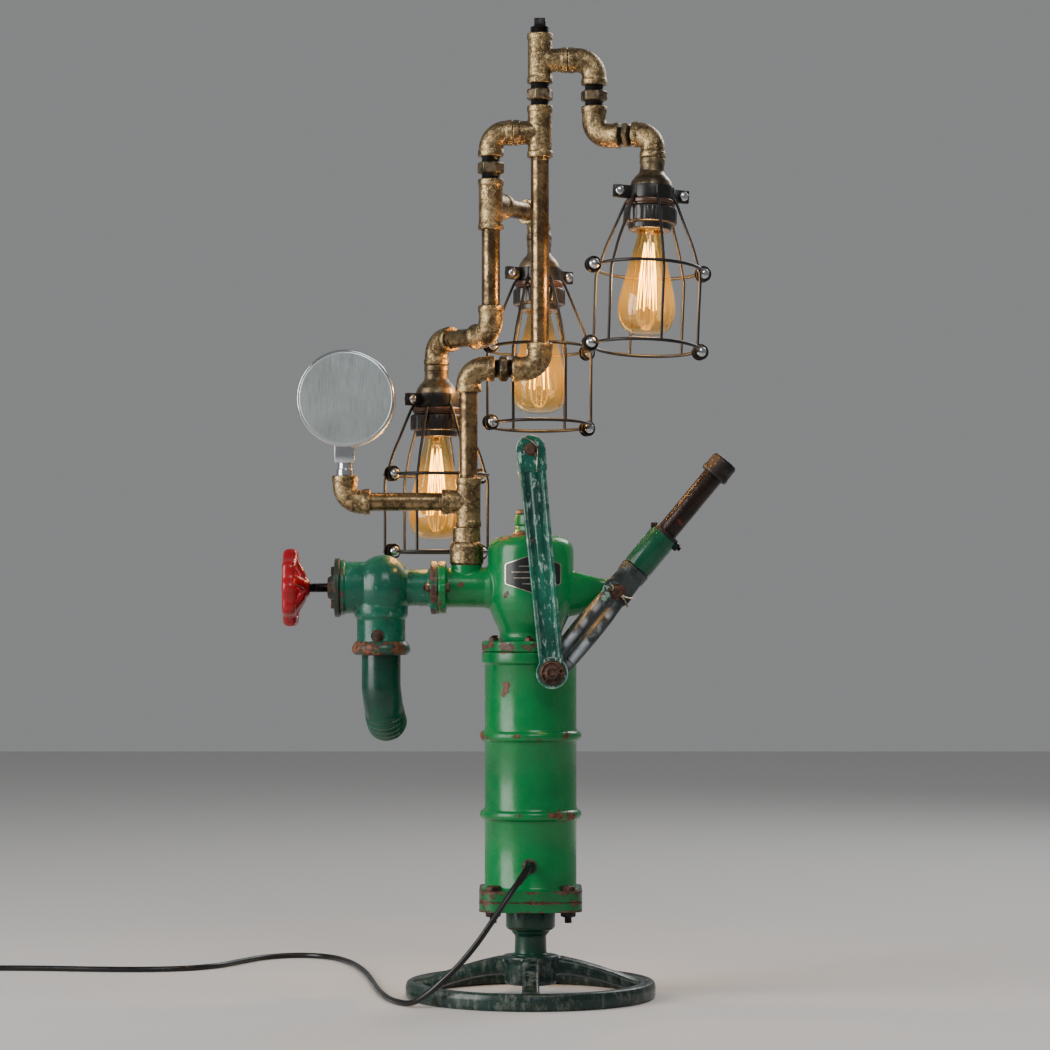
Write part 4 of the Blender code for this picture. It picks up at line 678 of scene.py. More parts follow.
def lathe(profile, facets=64, placing=None, hollow=False, wave=None, soft=0.0):
    """A turned solid about local Z from (radius, height) points, whose inner corners may be softened.

    wave(angle, radius, height) may swell the radius. A hollow profile is a closed ring.
    """
    if soft:
        profile = soft_corners(profile, soft)
    shape = bmesh.new()
    rings = []
    for radius, height in profile:
        if radius < 1e-6:
            rings.append([shape.verts.new((0.0, 0.0, height))])
            continue
        ring = []
        for index in range(facets):
            angle = math.tau * index / facets
            reach = radius * (wave(angle, radius, height) if wave else 1.0)
            ring.append(shape.verts.new((reach * math.cos(angle), reach * math.sin(angle), height)))
        rings.append(ring)
    for lower, upper in zip(rings, rings[1:]):
        bridge_rings(shape, lower, upper)
    if hollow:
        bridge_rings(shape, rings[-1], rings[0])
    mesh = close_mesh(shape)
    if placing is not None:
        mesh.transform(placing)
    return mesh


def soft_corners(profile, radius, steps=3):
    """A profile whose inner corners are rounded by arcs of up to a radius."""
    result = [profile[0]]
    for before, corner, after in zip(profile, profile[1:], profile[2:]):
        start = Vector(corner)
        back = Vector(before) - start
        ahead = Vector(after) - start
        room = min(radius, back.length * 0.45, ahead.length * 0.45)
        if room < 5e-5 or start.x < 1e-6:
            result.append(corner)
            continue
        entry = start + back.normalized() * room
        leave = start + ahead.normalized() * room
        for step in range(steps + 1):
            t = step / steps
            point = entry * (1 - t) ** 2 + start * (2 * t * (1 - t)) + leave * t * t
            result.append((point.x, point.y))
    result.append(profile[-1])
    return result


def circle(facets=32):
    return [(math.cos(math.tau * k / facets), math.sin(math.tau * k / facets)) for k in range(facets)]


def squircle(facets=32, power=4.0):
    """A unit outline between a circle and a square."""
    points = []
    for k in range(facets):
        c, s = math.cos(math.tau * k / facets), math.sin(math.tau * k / facets)
        reach = (abs(c) ** power + abs(s) ** power) ** (-1 / power)
        points.append((c * reach, s * reach))
    return points


def sweep(stations, outline, up, loop=False):
    """A solid along stations (point, direction, half width along up, half width across)."""
    shape = bmesh.new()
    rings = []
    for point, direction, along_up, across in stations:
        direction = Vector(direction).normalized()
        upward = (Vector(up) - direction * direction.dot(Vector(up))).normalized()
        sideways = direction.cross(upward)
        rings.append([shape.verts.new(Vector(point) + upward * (a * along_up) + sideways * (b * across))
                      for a, b in outline])
    for lower, upper in zip(rings, rings[1:]):
        bridge_rings(shape, lower, upper)
    if loop:
        bridge_rings(shape, rings[-1], rings[0])
    else:
        shape.faces.new(rings[0])
        shape.faces.new(rings[-1])
    return close_mesh(shape)


def spline_points(points, steps=8):
    """Catmull-Rom points through a list of vectors."""
    padded = [2 * points[0] - points[1]] + list(points) + [2 * points[-1] - points[-2]]
    result = []
    for index in range(1, len(padded) - 2):
        a, b, c, d = padded[index - 1:index + 3]
        for step in range(steps):
            t = step / steps
            result.append(0.5 * (2 * b + (c - a) * t + (2 * a - 5 * b + 4 * c - d) * t * t
                                 + (3 * b - a - 3 * c + d) * t ** 3))
    result.append(points[-1].copy())
    return result


def along_points(points, sizes):
    """Stations on a line of points; sizes is one pair, or a pair for each point."""
    stations = []
    for index, point in enumerate(points):
        before = points[max(index - 1, 0)]
        after = points[min(index + 1, len(points) - 1)]
        size = sizes if isinstance(sizes, tuple) else sizes[index]
        stations.append((point, after - before, size[0], size[1]))
    return stations


def smooth_bar(points, sizes, outline, up, steps=6):
    """A bar through a few points, whose sizes change smoothly with them."""
    carried = [Vector((a, b, 0)) for a, b in sizes]
    route = spline_points([Vector(point) for point in points], steps)
    spread = spline_points(carried, steps)
    return sweep(along_points(route, [(size.x, size.y) for size in spread]), outline, up)


def rod(start, end, radius, facets=32, soft=0.0):
    length = (Vector(end) - Vector(start)).length
    profile = [(0.0, 0.0), (radius, 0.0), (radius, length), (0.0, length)]
    if soft:
        profile = soft_corners(profile, soft)
    return lathe(profile, facets, placed(start, Vector(end) - Vector(start)))


def box(low, high, soft=0.0):
    shape = bmesh.new()
    bmesh.ops.create_cube(shape, size=1.0)
    size = Vector(high) - Vector(low)
    middle = (Vector(high) + Vector(low)) / 2
    for corner in shape.verts:
        corner.co = Vector([corner.co[k] * size[k] + middle[k] for k in range(3)])
    if soft:
        bmesh.ops.bevel(shape, geom=shape.edges[:], offset=soft, segments=2, affect="EDGES", profile=0.5)
    return close_mesh(shape)


def plate(outline, thickness, soft=0.0):
    """A flat plate: an outline of points, and the vector through its thickness."""
    shape = bmesh.new()
    near = [shape.verts.new(point) for point in outline]
    far = [shape.verts.new(Vector(point) + Vector(thickness)) for point in outline]
    caps = [shape.faces.new(near), shape.faces.new(far)]
    bridge_rings(shape, near, far)
    if soft:
        rims = [edge for cap in caps for edge in cap.edges]
        bmesh.ops.bevel(shape, geom=rims, offset=soft, segments=2, affect="EDGES", profile=0.5)
    return close_mesh(shape)


def hexagon_head(point, direction, across_flats, height, turn=0.0):
    """A bolt head or nut with its top corners turned off."""
    radius = across_flats / math.sqrt(3)
    profile = [(0.0, 0.0), (radius, 0.0), (radius, height * 0.80), (radius * 0.86, height), (0.0, height)]
    mesh = lathe(profile, 6, Matrix.Rotation(turn, 4, "Z"))
    mesh.transform(placed(point, direction))
    return mesh


def combine(first, second, operation="UNION"):
    """One mesh from two by an exact Boolean."""
    base = bpy.data.objects.new("combine_base", first)
    tool = bpy.data.objects.new("combine_tool", second)
    for item in (base, tool):
        link(item)
    change = base.modifiers.new("combine", "BOOLEAN")
    change.operation = operation
    change.object = tool
    change.solver = "EXACT"
    graph = bpy.context.evaluated_depsgraph_get()
    result = bpy.data.meshes.new_from_object(base.evaluated_get(graph))
    bpy.data.objects.remove(base)
    bpy.data.objects.remove(tool)
    return result


def cut(mesh, *tools):
    result = mesh
    for tool in tools:
        result = combine(result, tool, "DIFFERENCE")
    return result


def gather(meshes):
    """Separate closed pieces of one kind, such as bolts, as one mesh."""
    shape = bmesh.new()
    for mesh in meshes:
        shape.from_mesh(mesh)
    mesh = bpy.data.meshes.new("gathered")
    shape.to_mesh(mesh)
    shape.free()
    return mesh


SMOOTH_ANGLE = math.radians(38)


def piece(name, mesh, material, body, slot, *nodes, bevel=0.0):
    """Adds one finished piece that rides on a body, and hides the frame's nodes that it stands for."""
    mesh = mesh.copy()
    mesh.name = name
    mesh.transform(Matrix.Translation(PUMP_AXIS))
    mesh.materials.clear()
    mesh.materials.append(material)
    mesh.shade_smooth()
    mesh.set_sharp_from_angle(angle=SMOOTH_ANGLE)
    item = bpy.data.objects.new(name, mesh)
    link(item)
    if bevel:
        rounding = item.modifiers.new("rounding", "BEVEL")
        rounding.width = bevel
        rounding.segments = 2
        rounding.limit_method = "ANGLE"
        rounding.angle_limit = math.radians(40)
        rounding.harden_normals = False
    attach(item, body)
    for node in nodes:
        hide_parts(node)
    return item


def cast(meshes, voxel, softness=6):
    """Overlapping closed shells grown into one casting with small fillets in its corners."""
    item = bpy.data.objects.new("casting", gather(meshes))
    link(item)
    grown = item.modifiers.new("grown", "REMESH")
    grown.mode = "VOXEL"
    grown.voxel_size = voxel
    eased = item.modifiers.new("eased", "SMOOTH")
    eased.factor = 0.5
    eased.iterations = softness
    graph = bpy.context.evaluated_depsgraph_get()
    result = bpy.data.meshes.new_from_object(item.evaluated_get(graph))
    bpy.data.objects.remove(item)
    return result


def thread_profile(radius, start, end, pitch=0.0018, depth=0.0007):
    """Radius and height pairs of a screw thread's ridges."""
    points = [(radius - depth, start)]
    turns = max(int((end - start) / pitch), 1)
    step = (end - start) / turns
    for turn in range(turns):
        points.append((radius, start + step * (turn + 0.45)))
        points.append((radius - depth, start + step * (turn + 1.0)))
    return points


def threaded_rod(start, end, radius, pitch=0.0018, facets=28):
    length = (Vector(end) - Vector(start)).length
    profile = [(0.0, 0.0)] + thread_profile(radius, 0.0, length, pitch) + [(0.0, length)]
    return lathe(profile, facets, placed(start, Vector(end) - Vector(start)))


def dome(point, direction, radius, height, facets=28):
    """A domed screw or nut cover."""
    profile = [(radius, 0.0)]
    for step in range(6):
        angle = math.pi / 2 * step / 6
        profile.append((radius * math.cos(angle), height * (0.25 + 0.75 * math.sin(angle))))
    profile = [(0.0, 0.0)] + profile + [(0.0, height)]
    return lathe(profile, facets, placed(point, direction))


def washer(point, direction, radius, thickness, facets=36):
    profile = soft_corners([(0.0, 0.0), (radius, 0.0), (radius, thickness), (0.0, thickness)],
                           thickness * 0.3)
    return lathe(profile, facets, placed(point, direction))


def split_pin(point, direction, across, length=0.015, wire=0.0009):
    """A split pin: a small eye on one side of a shaft and two spread legs on the other."""
    direction = Vector(direction).normalized()
    across = Vector(across).normalized()
    eye = []
    for step in range(15):
        angle = math.radians(50) + math.radians(260) * step / 14
        eye.append(Vector(point) + direction * (-0.0032 - 0.0030 * math.cos(angle)) + across * 0.0028
                   * math.sin(angle))
    meshes = [sweep(along_points(eye, (wire, wire)), circle(8), direction.cross(across))]
    for side in (-1, 1):
        legs = [Vector(point) + across * side * 0.0008,
                Vector(point) + direction * length * 0.55 + across * side * 0.0009,
                Vector(point) + direction * length * 0.8 + across * side * 0.0030,
                Vector(point) + direction * length + across * side * 0.0062]
        meshes.append(sweep(along_points(spline_points(legs, 4), (wire, wire)), circle(8),
                            direction.cross(across)))
    return gather(meshes)


# ---------------------------------------------------------------- cord
CORD_RADIUS = 0.0033
CORD_ROUTE = [
    (-0.0090, -0.0760, 0.1405), (-0.0200, -0.0905, 0.1270), (-0.0370, -0.1030, 0.1020),
    (-0.0580, -0.1105, 0.0720),
    (-0.0790, -0.1140, 0.0470), (-0.0980, -0.1140, 0.0290), (-0.1140, -0.1080, 0.0150),
    (-0.1300, -0.0960, 0.0050),
    (-0.1450, -0.0760, 0.0035), (-0.1580, -0.0400, 0.0035), (-0.1690, 0.0150, 0.0035),
    (-0.1780, 0.0800, 0.0035),
    (-0.1880, 0.1600, 0.0035), (-0.2020, 0.2500, 0.0035), (-0.2220, 0.3300, 0.0035),
    (-0.2500, 0.3850, 0.0035),
    (-0.2900, 0.4020, 0.0035), (-0.3280, 0.3800, 0.0035), (-0.3540, 0.3340, 0.0035),
    (-0.3780, 0.2870, 0.0035),
    (-0.4150, 0.2560, 0.0035), (-0.4650, 0.2450, 0.0035), (-0.5200, 0.2480, 0.0035),
    (-0.5750, 0.2560, 0.0035),
    (-0.6250, 0.2600, 0.0035),
]
COIL_CENTRE = Vector((-0.7140, 0.2190, 0.0))
COIL_OUTER_TURN = 0.0402
COIL_INNER_TURN = 0.0333
COIL_TURNS = 2
COIL_STEPS = 28              # points a turn
PLUG_START = COIL_CENTRE + Vector((-0.0365, -0.0500, 0.0105))


def coil_points():
    """Two flat turns, one inside the other, then a rise over the outer turn towards the plug."""
    points = []
    steps = COIL_TURNS * COIL_STEPS
    start = math.radians(84)
    extra = math.radians(70)
    for step in range(steps + 1):
        share = step / steps
        angle = start + (math.tau * COIL_TURNS + extra) * share
        ease = min(max((share - 0.42) / 0.12, 0.0), 1.0)
        ease = ease * ease * (3 - 2 * ease)
        radius = COIL_OUTER_TURN + (COIL_INNER_TURN - COIL_OUTER_TURN) * ease
        lift = min(max((share - 0.86) / 0.14, 0.0), 1.0)
        height = CORD_RADIUS + 0.0002 + 0.0074 * lift * lift * (3 - 2 * lift)
        points.append(COIL_CENTRE + Vector((radius * math.cos(angle), radius * math.sin(angle), height)))
    return points


def make_cord():
    lead = [Vector(point) for point in CORD_ROUTE]
    coil = coil_points()
    tail = [COIL_CENTRE + Vector((-0.0352, -0.0060, 0.0111)),
            COIL_CENTRE + Vector((-0.0364, -0.0240, 0.0110)),
            PLUG_START + along_y(0.008), PLUG_START - along_y(0.002)]
    route = spline_points(lead + coil + tail, 4)
    curve = bpy.data.curves.new("cord", "CURVE")
    curve.dimensions = "3D"
    curve.bevel_depth = CORD_RADIUS
    curve.bevel_resolution = 5
    curve.use_fill_caps = True
    spline = curve.splines.new("POLY")
    spline.points.add(len(route) - 1)
    for target, point in zip(spline.points, route):
        target.co = (*(point + PUMP_AXIS), 1.0)
    curve.materials.append(RUBBER)
    cord = bpy.data.objects.new("cord", curve)
    link(cord)
    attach(cord, "base")
    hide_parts("cord_lead")
    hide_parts("cord_coil")

    forward = along_y(-1)
    relief = [(0.0, 0.0)]
    for ridge in range(5):
        base = 0.0042 + 0.0006 * ridge
        relief += [(base, 0.0024 * ridge), (base, 0.0024 * ridge + 0.0014),
                   (base - 0.0006, 0.0024 * ridge + 0.0017),
                   (base - 0.0006, 0.0024 * ridge + 0.0023)]
    relief.append((0.0, 0.0024 * 5))
    body = smooth_bar([PLUG_START + forward * reach for reach in (0.010, 0.018, 0.028, 0.036, 0.0405)],
                      [(0.0060, 0.0062), (0.0078, 0.0072), (0.0098, 0.0100), (0.0100, 0.0176),
                       (0.0100, 0.0180)],
                      squircle(32), (0, 0, 1))
    plug = piece("cord_plug_body", gather([lathe(relief, 32, placed(PLUG_START, forward)), body]),
                 PLUG_PLASTIC,
                 "base", "plug_plastic", "cord_plug", bevel=0.0006)
    pins = []
    for side in (-1, 1):
        root = PLUG_START + forward * 0.038 + Vector((side * 0.0095, 0, 0))
        pins.append(rod(root, root + forward * 0.021, 0.0024, 24, 0.0008))
    prongs = piece("plug_pins", gather(pins), CHROME, "base", "plug_plastic")
    tie_angle = math.radians(-35)
    outward = Vector((math.cos(tie_angle), math.sin(tie_angle), 0))
    tie_point = COIL_CENTRE + outward * (COIL_OUTER_TURN + COIL_INNER_TURN) / 2
    tie_point.z = CORD_RADIUS + 0.0008
    loop = []
    for step in range(20):
        angle = math.tau * step / 20
        reach = math.cos(angle) * 0.0073
        loop.append((tie_point + outward * reach + UP * math.sin(angle) * 0.0037,
                     UP * math.cos(angle) - outward * math.sin(angle), 0.0016, 0.0003))
    tie = sweep(loop, squircle(12), outward.cross(UP), loop=True)
    tie = piece("coil_tie", tie, RUBBER, "base", "rubber")

    hole = Vector((-0.0016, -0.0445, 0.150))
    grommet = lathe([(0.0, 0.0), (0.0046, 0.0), (0.0046, 0.0060), (0.0068, 0.0066), (0.0068, 0.0100),
                     (0.0052, 0.0108), (0.0, 0.0108)], 36, placed(hole, forward), soft=0.0008)
    boot_line = [Vector((-0.0017, -0.0540, 0.1499)), Vector((-0.0040, -0.0660, 0.1476)),
                 Vector((-0.0089, -0.0757, 0.1407)),
                 Vector((-0.0138, -0.0826, 0.1345))]
    boot = smooth_bar(boot_line, [(0.0058, 0.0058), (0.0050, 0.0050), (0.0043, 0.0043), (0.0039, 0.0039)],
                      circle(24), (0, 0, 1), 8)
    piece("cord_grommet_boot", gather([grommet, boot]), RUBBER, "base", "rubber", "cord_grommet")


# ---------------------------------------------------------------- base and barrel
FRONT_SPOKE = 3              # seen end-on in the photo, with no ridge on its top


def make_base():
    rim = lathe([(0.1225, 0.0006), (0.1375, 0.0), (RIM_OUTER, 0.003), (RIM_OUTER + 0.0004, 0.0125),
                 (0.1386, 0.0180),
                 (0.1352, 0.0193), (0.1325, 0.0184), (0.1290, 0.0172), (0.1262, 0.0180), (0.1235, 0.0186),
                 (0.1215, 0.0165), (0.1210, 0.0060)], 160, hollow=True)
    hub = lathe([(0.0, 0.0148), (0.0275, 0.0148), (0.0294, 0.0180), (0.0296, 0.0400), (0.0316, 0.0422),
                 (0.0316, 0.0462), (0.0304, 0.0474), (0.0, 0.0474)], 72, soft=0.0008)
    parts = [rim, hub]
    for quarter in range(4):
        outward = Vector((math.cos(math.pi / 2 * quarter), math.sin(math.pi / 2 * quarter), 0.0))
        line = [outward * reach + UP * height for reach, height in
                ((0.018, 0.0360), (0.036, 0.0352), (0.062, 0.0305), (0.090, 0.0225), (0.113, 0.0145),
                 (0.130, 0.0112))]
        sizes = [(0.0112, 0.0118), (0.0095, 0.0108), (0.0078, 0.0096), (0.0070, 0.0094), (0.0066, 0.0100),
                 (0.0070, 0.0112)]
        parts.append(smooth_bar(line, sizes, squircle(24, 3.0), UP))
        if quarter == FRONT_SPOKE:
            continue
        ridge = [(size[0] + 0.0016, 0.0030) for size in sizes]
        parts.append(smooth_bar(line, ridge, squircle(16, 2.4), UP))
    piece("base_wheel", cast(parts, 0.0011), BASE_PAINT, "base", "cast_base", "base_handwheel")
    stem = lathe([(0.0, 0.0470), (0.0215, 0.0470), (0.0215, 0.0486), (0.0180, 0.0494), (0.0176, 0.0690),
                  (0.0196, 0.0712), (0.0212, 0.0728), (0.0212, 0.0742), (0.0264, 0.0768),
                  (0.0277, 0.0790),
                  (0.0277, 0.0988), (0.0, 0.0988)], 96, soft=0.0016)
    piece("base_stem_turned", stem, STEM_PAINT, "base", "cast_base", "base_stem")


def square_flange(bottom, top, half=FLANGE_HALF, soft=0.0014):
    inner = half - FLANGE_CORNER
    outline = []
    for corner, (sx, sy) in enumerate(((1, 1), (-1, 1), (-1, -1), (1, -1))):
        for step in range(13):
            angle = math.pi / 2 * (corner + step / 12)
            outline.append((sx * inner + FLANGE_CORNER * math.cos(angle),
                            sy * inner + FLANGE_CORNER * math.sin(angle), bottom))
    return plate(outline, (0, 0, top - bottom), soft)


def corner_places():
    return [(sx * FLANGE_BOLT, sy * FLANGE_BOLT) for sx in (-1, 1) for sy in (-1, 1)]


def make_flanges():
    piece("lower_flange", square_flange(FLANGE_BOTTOM, FLANGE_SPLIT - 0.0002), FLANGE_PAINT, "base",
          "enamel_green",
          "bottom_flange")
    piece("flange_gasket",
          square_flange(FLANGE_SPLIT - 0.0003, FLANGE_SPLIT + 0.0009, FLANGE_HALF - 0.0006, 0.0003),
          RUSTY, "base", "rusty_steel")
    piece("upper_flange", square_flange(FLANGE_SPLIT + 0.0008, FLANGE_TOP), FLANGE_PAINT, "base",
          "enamel_green")
    bolts, nuts = [], []
    for index, (x, y) in enumerate(corner_places()):
        turn = 0.4 + index * 0.7
        bolts.append(washer((x, y, FLANGE_TOP - 0.0002), UP, 0.0092, 0.0012))
        bolts.append(hexagon_head((x, y, FLANGE_TOP + 0.0009), UP, 0.0145, 0.0046, turn))
        nuts.append(hexagon_head((x, y, FLANGE_BOTTOM + 0.0002), -UP, 0.0150, 0.0058, turn + 0.5))
        nuts.append(threaded_rod((x, y, FLANGE_BOTTOM), (x, y, 0.0868), 0.0043, 0.0013))
    piece("flange_bolts", gather(bolts), BOLT_RUST, "base", "rusty_steel", bevel=0.0003)
    piece("flange_nuts", gather(nuts), BLACK_STEEL, "base", "black_steel", bevel=0.0003)


def make_barrel():
    profile = [(0.0, FLANGE_TOP - 0.004), (0.0560, FLANGE_TOP - 0.004), (0.0560, FLANGE_TOP - 0.0004),
               (0.0535, FLANGE_TOP + 0.0010), (BARREL_RADIUS, FLANGE_TOP + 0.0040)]
    for height in BEAD_HEIGHTS:
        profile += [(BARREL_RADIUS, height - 0.0088), (BARREL_RADIUS + 0.0006, height - 0.0070)]
        for step in range(9):
            angle = math.pi * (step / 8 - 0.5)
            profile.append((BARREL_RADIUS + 0.0012 + 0.0044 * math.cos(angle),
                            height + 0.0056 * math.sin(angle)))
        profile += [(BARREL_RADIUS + 0.0006, height + 0.0070), (BARREL_RADIUS, height + 0.0088)]
    profile += soft_corners([(BARREL_RADIUS, 0.3718), (BARREL_RADIUS + 0.0004, 0.3730),
                             (BARREL_RADIUS + 0.0035, 0.3750),
                             (BARREL_RADIUS + 0.0035, BARREL_TOP), (0.0, BARREL_TOP)], 0.0012)
    piece("barrel", lathe(profile, 144), GREEN_BARREL, "base", "enamel_green", "pump_cylinder")
    rim = lathe([(0.0066, 0.0), (0.0082, 0.0002), (0.0084, 0.0016), (0.0066, 0.0022)], 40,
                placed((-0.0016, -BARREL_RADIUS + 0.0004, 0.150), (0, -1, 0)), hollow=True, soft=0.0005)
    piece("cord_hole_rim", rim, BOLT_RUST, "base", "rusty_steel")


# ---------------------------------------------------------------- head
def curved_plate(half_width, half_height, side_half, radius, thickness, centre_x, centre_z, rows=26):
    """A six-sided plate bent round the head; its sides reach side_half above and below the middle."""
    shape = bmesh.new()
    layers = []
    for layer in (0, 1):
        grid = []
        for row in range(rows + 1):
            z = half_height * (2 * row / rows - 1)
            taper = (half_height - abs(z)) / (half_height - side_half)
            width = max(half_width * min(taper, 1.0), 0.0006)
            line = []
            for column in range(rows + 1):
                x = centre_x + width * (2 * column / rows - 1)
                reach = radius + thickness * layer
                line.append(shape.verts.new((x, -math.sqrt(reach * reach - x * x), centre_z + z)))
            grid.append(line)
        layers.append(grid)
    for grid in layers:
        for row in range(rows):
            for column in range(rows):
                shape.faces.new([grid[row][column], grid[row][column + 1], grid[row + 1][column + 1],
                                 grid[row + 1][column]])
    inner, outer = layers
    for row in range(rows):
        for column in (0, rows):
            shape.faces.new([inner[row][column], inner[row + 1][column], outer[row + 1][column],
                             outer[row][column]])
    for row in (0, rows):
        for column in range(rows):
            shape.faces.new([inner[row][column], inner[row][column + 1], outer[row][column + 1],
                             outer[row][column]])
    return close_mesh(shape)


def make_head():
    bottom = BARREL_TOP + 0.0003
    profile = [(0.0, bottom), (0.0548, bottom), (0.0548, HEAD_FLANGE_TOP),
               (0.0385, HEAD_FLANGE_TOP + 0.001),
               (0.0352, 0.4030), (0.0345, 0.4075), (0.0372, 0.4145), (0.0415, 0.4235), (0.0455, 0.4335),
               (0.0478, 0.4430), (HEAD_RADIUS, 0.4500), (HEAD_RADIUS, 0.4990), (0.0476, 0.5050),
               (0.0448, 0.5105),
               (0.0390, 0.5148), (0.0300, 0.5172), (0.0215, 0.5180), (0.0190, 0.5215), (0.0180, 0.5235),
               (0.0178, 0.5290), (0.0, 0.5290)]
    pot = lathe(profile, 120, soft=0.002)
    bracket = smooth_bar([(0.036, 0, 0.4530), (0.050, 0, 0.4528), (0.064, 0, 0.4530), (0.080, 0, 0.4535),
                          (FULCRUM.x, 0, FULCRUM.z)],
                         [(0.0275, 0.0200), (0.0250, 0.0160), (0.0208, 0.0112), (0.0160, 0.0070),
                          (0.0128, 0.0068)],
                         squircle(28, 3.2), UP)
    eye = rod(FULCRUM - along_y(0.0078), FULCRUM + along_y(0.0078), 0.0142, 48)
    outlet = lathe([(0.0, 0.030), (0.0260, 0.030), (0.0252, 0.0450), (0.0228, 0.0520), (0.0224, 0.0600),
                    (0.0224, 0.0930),
                    (0.0240, 0.0945), (OUTLET_FLANGE_RADIUS, 0.0950),
                    (OUTLET_FLANGE_RADIUS, OUTLET_FACE - 0.0006),
                    (0.0, OUTLET_FACE - 0.0006)], 72, placed((0, 0, OUTLET_HEIGHT), (-1, 0, 0)))
    boss = rod((RISER_X - 0.002, 0, OUTLET_HEIGHT), (RISER_X - 0.002, 0, 0.4856), 0.0172, 48)
    ears = []
    for side in (-1, 1):
        ears.append(rod((-OUTLET_FACE + 0.0088, side * 0.0262, OUTLET_HEIGHT),
                        (-OUTLET_FACE + 0.0006, side * 0.0262, OUTLET_HEIGHT),
                        0.0088, 36))
    solid = cast([pot, bracket, eye, outlet, boss] + ears, 0.0010, 5)
    hole = rod(FULCRUM - along_y(0.02), FULCRUM + along_y(0.02), FULCRUM_HOLE, 40)
    piece("head_casting", cut(solid, hole), GREEN_HEAD, "base", "enamel_green", "pump_head")
    piece("gland_ring", lathe([(0.0, 0.5288), (0.0178, 0.5288), (0.0178, 0.5405), (0.0158, 0.5412),
                               (0.0, 0.5412)], 64, soft=0.001), GREEN, "base", "enamel_green")
    piece("gland_top", lathe([(0.0, 0.5410), (0.0160, 0.5410), (0.0163, 0.5450), (0.0140, 0.5468),
                              (0.0, 0.5468)], 48, soft=0.001), BOLT_RUST, "base",
          "rusty_steel", "gland_nut")
    nuts = []
    for index in range(6):
        angle = math.radians(28 + 60 * index)
        point = (0.0468 * math.cos(angle), 0.0468 * math.sin(angle), HEAD_FLANGE_TOP - 0.0002)
        nuts.append(hexagon_head(point, UP, 0.0105, 0.0042, angle))
        nuts.append(threaded_rod(point, Vector(point) + UP * 0.0062, 0.0030, 0.0010))
    piece("head_nuts", gather(nuts), BOLT_RUST, "base", "rusty_steel")

    centre = (0.0026, 0.4740)
    piece("plate_border", curved_plate(0.0314, 0.0218, 0.0113, 0.0486, 0.0007, *centre), CAP_METAL, "base",
          "enamel_green")
    piece("plate_field", curved_plate(0.0304, 0.0208, 0.0108, 0.0489, 0.0006, *centre), PLATE_BLACK, "base",
          "enamel_green")
    bars = []
    for height, half in ((0.0085, 0.0160), (0.0020, 0.0240), (-0.0045, 0.0220), (-0.0110, 0.0120)):
        bars.append(curved_plate(half, 0.0009, 0.0006, 0.0493, 0.0004, centre[0], centre[1] + height, 6))
    piece("plate_bars", gather(bars), CAP_METAL, "base", "enamel_green")


# ---------------------------------------------------------------- lift linkage
def make_rod():
    stem = rod((0, 0, 0.5400), CROSSHEAD - UP * 0.004, 0.0056, 40)
    eye = rod(CROSSHEAD - along_y(0.014), CROSSHEAD + along_y(0.014), 0.0118, 48, 0.0012)
    hidden = rod((0, 0, 0.2626), (0, 0, 0.5402), 0.0056, 40)
    neck = lathe([(0.0, 0.588), (0.0056, 0.588), (0.0095, 0.600), (0.0095, 0.606), (0.0, 0.606)], 40)
    piece("rod_and_eye", gather([hidden, cast([stem, eye, neck], 0.0007, 3)]), BOLT_RUST, "rod",
          "rusty_steel", "piston_rod")
    ends = [rod(CROSSHEAD - along_y(0.0785), CROSSHEAD + along_y(0.0785), 0.0050, 36, 0.0010)]
    wires = []
    for side in (-1, 1):
        face = CROSSHEAD + along_y(side * 0.0746)
        ends.append(washer(CROSSHEAD + along_y(side * 0.0738), (0, side, 0), 0.0068, 0.0010))
        ends.append(split_pin(face + Vector((-0.0040, side * 0.0020, 0.0010)), (1, 0, -0.25), (0.25, 0, 1),
                              0.0120))
        tie = [face + Vector((x, side * y, z)) for x, y, z in
               ((-0.0100, 0.0002, 0.0138), (-0.0040, 0.0009, 0.0120), (0.0030, 0.0012, 0.0075),
                (0.0072, 0.0012, 0.0010),
                (0.0074, 0.0011, -0.0080), (0.0066, 0.0011, -0.0170), (0.0068, 0.0009, -0.0250))]
        wires.append(sweep(along_points(spline_points(tie, 5), (0.0006, 0.0006)), circle(8), (0, 1, 0)))
    piece("cross_pin", gather(ends), BOLT_RUST, "rod", "rusty_steel", "crosshead_pin")
    piece("cross_pin_wire", gather(wires), PIN_STEEL, "rod", "rusty_steel")
    cup = lathe([(0.0, 0.2380), (0.0374, 0.2380), (0.0404, 0.2320), (0.0434, 0.2320), (0.0434, 0.2540),
                 (0.0394, 0.2620), (0.0, 0.2620)], 72, soft=0.001)
    piece("piston_cup", cup, LEATHER, "rod", "leather", "piston")


def on_lever(distance, depth, across=0.0):
    side = Vector((LEVER_AXIS.z, 0.0, -LEVER_AXIS.x))
    return LINK_FOOT + LEVER_AXIS * distance + along_y(depth) + side * across


